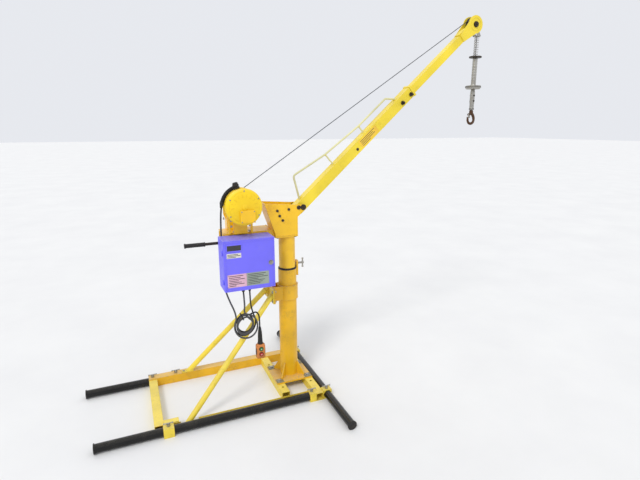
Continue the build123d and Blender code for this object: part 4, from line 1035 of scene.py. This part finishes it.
def add_pendant():
    """Shell, seam, grip ribs, two buttons and ribbed boot."""
    p = PENDANT
    body = Shape()
    rings = []
    for drop, width, depth, corner in ((0, 30, 24, 9), (-3, 44, 32, 10), (-9, 52, 37, 10), (-16, 54, 38, 9.5),
                                       (-44, 50, 36, 9.5), (-74, 53, 38, 9.5), (-84, 53, 38, 9.5),
                                       (-90, 46, 33, 10), (-92, 36, 24, 9)):
        rings.append([(p.x + a, p.y + b, p.z + drop) for a, b in rounded(width, depth, corner)])
    body.rings(rings)
    body.make("pendant_shell", "mast", "orange_plastic", "pendant", replaces=["pendant_body"], bevel=0,
              smooth=50)
    seam = Shape()
    seam.rings([[(p.x + a, p.y + 2 + h, p.z - 46 + b) for a, b in rounded(55, 92, 10)] for h in (-0.6, 0.6)])
    for drop in (28, 62):
        seam.ring_bar(13.2, 10.3, (p.x, p.y - 17, p.z - drop), -Y, 3.6, 40)
    seam.make("pendant_seam", "mast", "black_rubber", "rubber", bevel=0.4)
    guard = Shape()
    for side in (-1, 1):
        for k in range(6):
            guard.slab((p.x + side * 26.2, p.y, p.z - 30 - 7 * k), X, Y, Z, (2.6, 22, 3))
    for dx, dz in ((-20, -8), (20, -8), (-20, -84), (20, -84)):
        guard.screw_head((p.x + dx, p.y - 15.6, p.z + dz), -Y, 2.2)
    guard.make("pendant_grip_ribs", "mast", "black_rubber", "rubber", bevel=0.5)
    for body_name, drop, look, turn in (("up_button", 28, "green", 1), ("down_button", 62, "red", -1)):
        cap = Shape()
        profile = [(9.9, -12), (9.9, 2.4), (9.2, 3.6), (6.5, 4.2), (0, 4.0)]
        cap.lathe(profile, (p.x, p.y - 21.4, p.z - drop), -Y, 40)
        cap.make(body_name + "_cap", body_name, "button_" + look, look, replaces=[body_name], bevel=0)
        arrow = Shape()
        tri = [(-4, -2.6 * turn), (4, -2.6 * turn), (0, 4.2 * turn)]
        arrow.rings([[(p.x + a, p.y - 25.2 - h, p.z - drop + b) for a, b in tri] for h in (0, 0.5)])
        arrow.make(body_name + "_arrow", body_name, "button_" + look, "white", bevel=0)
    boot = Shape()
    profile = [(15.5, 0), (17, 1.5), (17, 6), (14, 8)]
    for k in range(9):
        h = 10 + k * 6.6
        r = 14.6 - k * 0.25
        profile += [(r - 2.2, h), (r, h + 1.8), (r, h + 3.8), (r - 2.2, h + 5.6)]
    profile += [(12, 71), (10.6, 80), (9, 92), (7.4, 103), (6.2, 108), (4.4, 109)]
    boot.lathe(profile, p, Z, 32)
    boot.make("pendant_boot_ribbed", "mast", "black_rubber", "rubber", replaces=["pendant_boot"],
              bevel=0, smooth=50)


# ---- boom ----

def add_boom_details():
    """Welds, washers, clamp screws, blank label and root cap of the boom."""
    welds = Shape()
    for post in POSTS:
        welds.ring_weld(on_boom(post[0], BOOM_SIDE + 0.6), UP, 6.2, 2.2)
    for post in POSTS:
        welds.ring_weld(on_boom(*post), UP, 5.6, 2.2)
    for s in ROD_ENDS:
        for side in (-1, 1):
            welds.weld([on_boom(s - 12, 32.4, side * 6.6), on_boom(s + 14, 32.4, side * 6.6)], 2.2)
    for y in (-32.6, 32.6):
        welds.weld([on_boom(1050.4, -BOOM_SIDE, y), on_boom(1050.4, BOOM_SIDE, y)], 1.8)
    welds.make_welds("boom_welds", "boom", "boom")
    tip = Shape()
    for side in (-1, 1):
        for t in (-25.4, 25.4):
            tip.weld([on_boom(1562, t, side * 26.6), on_boom(1638, t, side * 26.6)], 2.0)
        ring = [on_boom(SHEAVE_S + 40 * math.cos(a), 40 * math.sin(a), side * 31.4) for a in circle(60)]
        tip.tube(ring, 1.6, 8, closed=True)
    tip.make_welds("tip_welds", "boom_tip", "boom")
    stop = Shape()
    stop.slab(on_boom(1592, 28, 0), ALONG, UP, Y, (70, 6, 44))
    stop.make("tip_stiffener", "boom_tip", "yellow_paint", "boom", bevel=1.2)
    nuts = Shape()
    for side in (-1, 1):
        nuts.lathe([(19, 0), (19, 2.4), (17.6, 3.0)], on_boom(SHEAVE_S, 0, side * 31), Y * side, 40)
    nuts.lathe([(3, 0), (3, 4), (2, 5.4), (0.8, 6)], on_boom(SHEAVE_S, 0, -40), -Y, 16)
    nuts.make("axle_washers", "boom_tip", "dark_steel", "dark", bevel=0.3)
    screws = Shape()
    screws.lathe([(9, 0), (9, 1.6), (8, 2)], on_boom(PRESS_SCREW_S, -6, -BOOM_SIDE), -Y, 24)
    screws.hexagon(on_boom(PRESS_SCREW_S, -6, -BOOM_SIDE - 1.8), -Y, 13, 5)
    for s in CLAMPS_S:
        screws.lathe([(13, 0), (13, 2), (12, 2.5)], on_boom(s, -9, -BOOM_SIDE), -Y, 28)
        screws.lathe([(6, 0), (6, 20), (5, 21.4)], on_boom(s, -9, -BOOM_SIDE - 4), -Y, 20)
    screws.make("clamp_screws", "boom", "dark_steel", "dark", bevel=0.3)
    film = Shape()
    low, high = LABEL_S
    sticker = [(low, -24), (high, -24), (high, 24), (low, 24)]
    film.rings([[on_boom(s, t, -BOOM_SIDE - h) for s, t in sticker] for h in (0, 0.35)])
    film.make("boom_label_blank", "boom", "yellow_paint", "label_boom", bevel=0)
    ink = Shape()
    for k, width in enumerate((126, 108, 118, 70)):
        t = 17 - 10.5 * k
        strip = [(low + 12, t - 4), (low + 12 + width, t - 4), (low + 12 + width, t), (low + 12, t)]
        ink.rings([[on_boom(s, q, -BOOM_SIDE - 0.35 - h) for s, q in strip] for h in (0, 0.1)])
    ink.make("boom_label_bars", "boom", "yellow_paint", "foot", bevel=0)
    cap = Shape()
    cap.slab(on_boom(-11, 0, 0), ALONG, UP, Y, (4, 62, 62))
    cap.make("boom_root_cap", "boom", "yellow_paint", "rubber", bevel=0.8)


def add_sheave_details():
    """Rim, hub and dished bosses of the sheave."""
    trim = Shape()
    for side in (-1, 1):
        trim.ring_bar(48.6, 45.4, SHEAVE + Y * (10.4 * side), Y * side, 1.4, 72)
        trim.ring_bar(17, 11, SHEAVE + Y * (17.8 * side), Y * side, 1.0, 40)
        for k in range(5):
            centre = SHEAVE + round_y(31, 72 * k, 10.6 * side)
            trim.lathe([(8.2, 0), (8.2, 0.9), (6.4, 1.2), (5.6, 0.5), (0, 0.5)], centre, Y * side, 28)
    trim.make("sheave_webs", "sheave", "dark_steel", "dark", bevel=0.2)


# ---- buffer and hook ----

def add_hook_block():
    """Buffer disc, stop sleeve, lower disc and swivel barrel."""
    disc = Shape()
    disc.lathe([(8.2, 0), (39, 0), (41.4, 1.6), (41.4, 8.4), (39, 10.2), (20, 10.2), (18, 12.4), (8.2, 12.4)],
               (HOOK_X, 0, DISC_Z), Z, 64, closed=True)
    disc.make("buffer_disc_turned", "buffer_disc", "dark_steel", "dark", replaces=["buffer_disc"], bevel=0.3)
    sleeve = Shape()
    profile = [(8.4, 1904), (43.5, 1904), (52, 1912.5), (52, 1924), (50, 1926.2), (22, 1926.2), (18.5, 1930),
               (16.2, 1936), (16.2, 1944)]
    for k in range(8):
        z = 1952 + k * 17.5
        profile += [(16.4, z), (15.4, z + 1), (15.4, z + 3), (16.4, z + 4)]
    profile += [(16.4, 2098), (15.2, 2105.2), (8.4, 2105.2)]
    sleeve.lathe([(r, z - 1904) for r, z in profile], (HOOK_X, 0, 1904), Z, 48, closed=True)
    sleeve.make("hook_sleeve_turned", "hook_block", "zinc_steel", "zinc", replaces=["hook_sleeve"],
                bevel=0.2)
    rim = Shape()
    rim.ring_bar(52.6, 50, (HOOK_X, 0, 1914), Z, 3, 64)
    rim.ring_bar(52.6, 50, (HOOK_X, 0, 1920), Z, 3, 64)
    rim.make("hook_disc_rims", "hook_block", "dark_steel", "dark", bevel=0.3)
    barrel = Shape()
    profile = [(8.2, 1766), (14.6, 1766), (16.4, 1768), (16.4, 1778), (14.8, 1780), (14.8, 1808),
               (16.2, 1811), (16.2, 1880), (15, 1890), (13, 1896), (13, 1903.8), (8.2, 1903.8)]
    barrel.lathe([(r, z - 1766) for r, z in profile], (HOOK_X, 0, 1766), Z, 48, closed=True)
    barrel.make("hook_swivel_turned", "hook_block", "zinc_steel", "zinc", replaces=["hook_swivel"],
                bevel=0.3)
    flats = Shape()
    for k in range(18):
        a = math.radians(20 * k)
        out = Vector((math.cos(a), math.sin(a), 0))
        flats.slab((HOOK_X + out.x * 16.2, out.y * 16.2, 1773), out, Z, out.cross(Z), (1.2, 8, 2.6))
    for z in (1826, 1862):
        for side in (-1, 1):
            flats.hexagon((HOOK_X, side * 15.6, z), Y * side, 11, 5)
    flats.make("hook_swivel_knurl", "hook_block", "dark_steel", "dark", bevel=0.2)


def add_hook():
    """Forged hook whose tip tapers and turns outward, with its neck, latch ears and latch."""
    bow = 26
    rise = SWIVEL_Z - 20 - HOOK_Z
    shoulder = (bow ** 2 + rise ** 2) / (2 * bow)
    lean = HOOK_X + bow - shoulder
    turn = math.asin(rise / shoulder)
    path, thick, wide = [], [], []
    for k in range(9):
        a = turn * (1 - k / 9)
        path.append(Vector((lean + shoulder * math.cos(a), 0, HOOK_Z + shoulder * math.sin(a))))
        thick.append(11.0 - 2.0 * k / 9)
        wide.append(11.0 - 2.2 * k / 9)
    for k in range(25):
        a = math.radians(-180 * k / 24)
        path.append(Vector((HOOK_X + bow * math.cos(a), 0, HOOK_Z + bow * math.sin(a))))
        load = math.sin(math.pi * min(1, (k + 5) / 26))
        thick.append(7.8 + 1.9 * load)
        wide.append(7.4 + 0.6 * load)
    for k in range(1, 9):
        t = k / 8
        path.append(Vector((HOOK_X - bow - 5.0 * t * t, 0, HOOK_Z + 17 * t)))
        thick.append(7.8 - 3.6 * t ** 1.6)
        wide.append(7.4 - 2.6 * t ** 1.6)
    hook = Shape()
    rings = []
    for i, here in enumerate(path):
        run = (path[min(i + 1, len(path) - 1)] - path[max(i - 1, 0)]).normalized()
        side = Y.cross(run)
        rings.append([here + side * math.cos(b) * thick[i] + Y * math.sin(b) * wide[i]
                      for b in circle(16)])
    last = path[-1]
    for share, reach in ((0.7, 1.8), (0.3, 2.8)):
        run = (path[-1] - path[-2]).normalized()
        rings.append([last + run * reach + (p - last) * share for p in rings[len(path) - 1]])
    hook.rings(rings)
    hook.make("hook_forged", "hook", "dark_steel", "hook", replaces=["hook"], bevel=0, smooth=70,
              subdivide=1)
    neck = Shape()
    neck.lathe([(10.5, 0), (13, 3), (13.4, 10), (13.4, 18), (12, 23), (8, 24.4), (8, 26)],
               (HOOK_X, 0, SWIVEL_Z - 26), Z, 40)
    neck.make("hook_neck", "hook", "dark_steel", "hook", bevel=0, smooth=50)
    ears = Shape()
    px, pz = HOOK_X - 18, SWIVEL_Z - 30
    for y in (-10.2, 7.4):
        outline = [(px - 6, pz - 1), (px - 4, pz - 6), (px + 2, pz - 7), (px + 14, pz + 1),
                   (px + 17, pz + 11), (px + 4, pz + 9), (px - 4, pz + 5)]
        ears.rings([[(a, y + h, b) for a, b in outline] for h in (0, 2.8)])
    for side in (-1, 1):
        ears.lathe([(3.6, 0), (3.6, 1.2), (2.4, 2.2)], (px, 10.2 * side, pz), Y * side, 20)
    ears.make("latch_ears", "hook", "dark_steel", "hook", bevel=0.4)
    latch = Shape()
    end = Vector((HOOK_X - 15.5, 0, HOOK_Z + 12))
    pin = Vector((px, 0, pz))
    run = (end - pin).normalized()
    out = Y.cross(run)
    length = (end - pin).length
    for y0, y1 in ((-6.8, -5.2), (5.2, 6.8)):
        outline = [(-4.4, -4.6), (-4.6, 3.4), (length, 2.4), (length, -3.2)]
        latch.rings([[pin + run * a + out * b + Y * h for a, b in outline] for h in (y0, y1)])
    face = [(-1, 2.0), (-1, 3.4), (length, 3.0), (length, 1.6)]
    latch.rings([[pin + run * a + out * b + Y * h for a, b in face] for h in (-6.8, 6.8)])
    latch.ring_bar(4.4, 2.1, pin - Y * 5.0, Y, 10.0, 24)
    latch.make("hook_latch_pressed", "hook_latch", "zinc_steel", "zinc", replaces=["hook_latch"],
               bevel=0.3)


def add_slew_lock():
    """T-handle and thread of the slewing lock screw."""
    screw = Shape()
    handle = [(LOCK_X, 0, LOCK_Z - 24 + 48 * k / 12) for k in range(13)]
    screw.tube(handle, [4.1 + 0.5 * math.sin(math.pi * k / 12) for k in range(13)], 16)
    for side in (-1, 1):
        screw.lathe([(4.2, 0), (6.6, 2.2), (6.9, 5.0), (5.4, 8.2), (2, 9.6), (0, 9.8)],
                    (LOCK_X, 0, LOCK_Z + 22 * side), Z * side, 24)
    for k in range(12):
        screw.ring_bar(6.35, 5.2, (71 + 2.1 * k, 0, LOCK_Z), X, 1.0, 28)
    screw.make("slew_lock_handle", "slew_lock", "zinc_steel", "zinc", bevel=0.2)


# ---- stage ----

def add_stage():
    """Pale floor, three soft suns and an even sky."""
    g = Graph("stage_floor")
    grey = g.mix(g.ramp(g.noise(1.4, 4.0), 0.3, 0.7), (0.74, 0.74, 0.735, 1), (0.78, 0.78, 0.77, 1))
    g.put(g.shader, {"Base Color": grey, "Roughness": 0.85})
    floor = bpy.data.meshes.new("stage_floor")
    floor.from_pydata([(-60, -60, 0), (60, -60, 0), (60, 60, 0), (-60, 60, 0)], [], [(0, 1, 2, 3)])
    floor.materials.append(g.material)
    piece = bpy.data.objects.new("stage_floor", floor)
    bpy.context.scene.collection.objects.link(piece)
    for name, direction, strength, softness in (("key", (0.62, 0.62, -0.95), 1.25, 16),
                                                ("fill", (-0.9, 0.45, -0.6), 0.3, 60),
                                                ("back", (0.2, -0.9, -0.7), 0.25, 60)):
        data = bpy.data.lights.new(name, "SUN")
        data.angle = math.radians(softness)
        data.energy = strength
        data.color = (1.0, 0.985, 0.96)
        light = bpy.data.objects.new(name, data)
        light.rotation_euler = Vector(direction).to_track_quat("-Z", "Y").to_euler()
        bpy.context.scene.collection.objects.link(light)
    world = bpy.data.worlds.new("studio")
    world.use_nodes = True
    world.node_tree.nodes["Background"].inputs[0].default_value = (0.93, 0.95, 1.0, 1)
    world.node_tree.nodes["Background"].inputs[1].default_value = 0.86
    bpy.context.scene.world = world
    bpy.context.scene.view_settings.view_transform = "Standard"


add_camera()
looks = make_materials()
paint_frame()
add_leads()
add_rope()
add_drum_winding()
add_spring()
add_frame_details()
add_floor_pads()
add_plugs()
add_mast_details()
add_platform_details()
add_motor()
add_conduit()
add_gear_case_details()
add_box_details()
add_pendant()
add_boom_details()
add_sheave_details()
add_hook_block()
add_hook()
add_slew_lock()
add_stage()
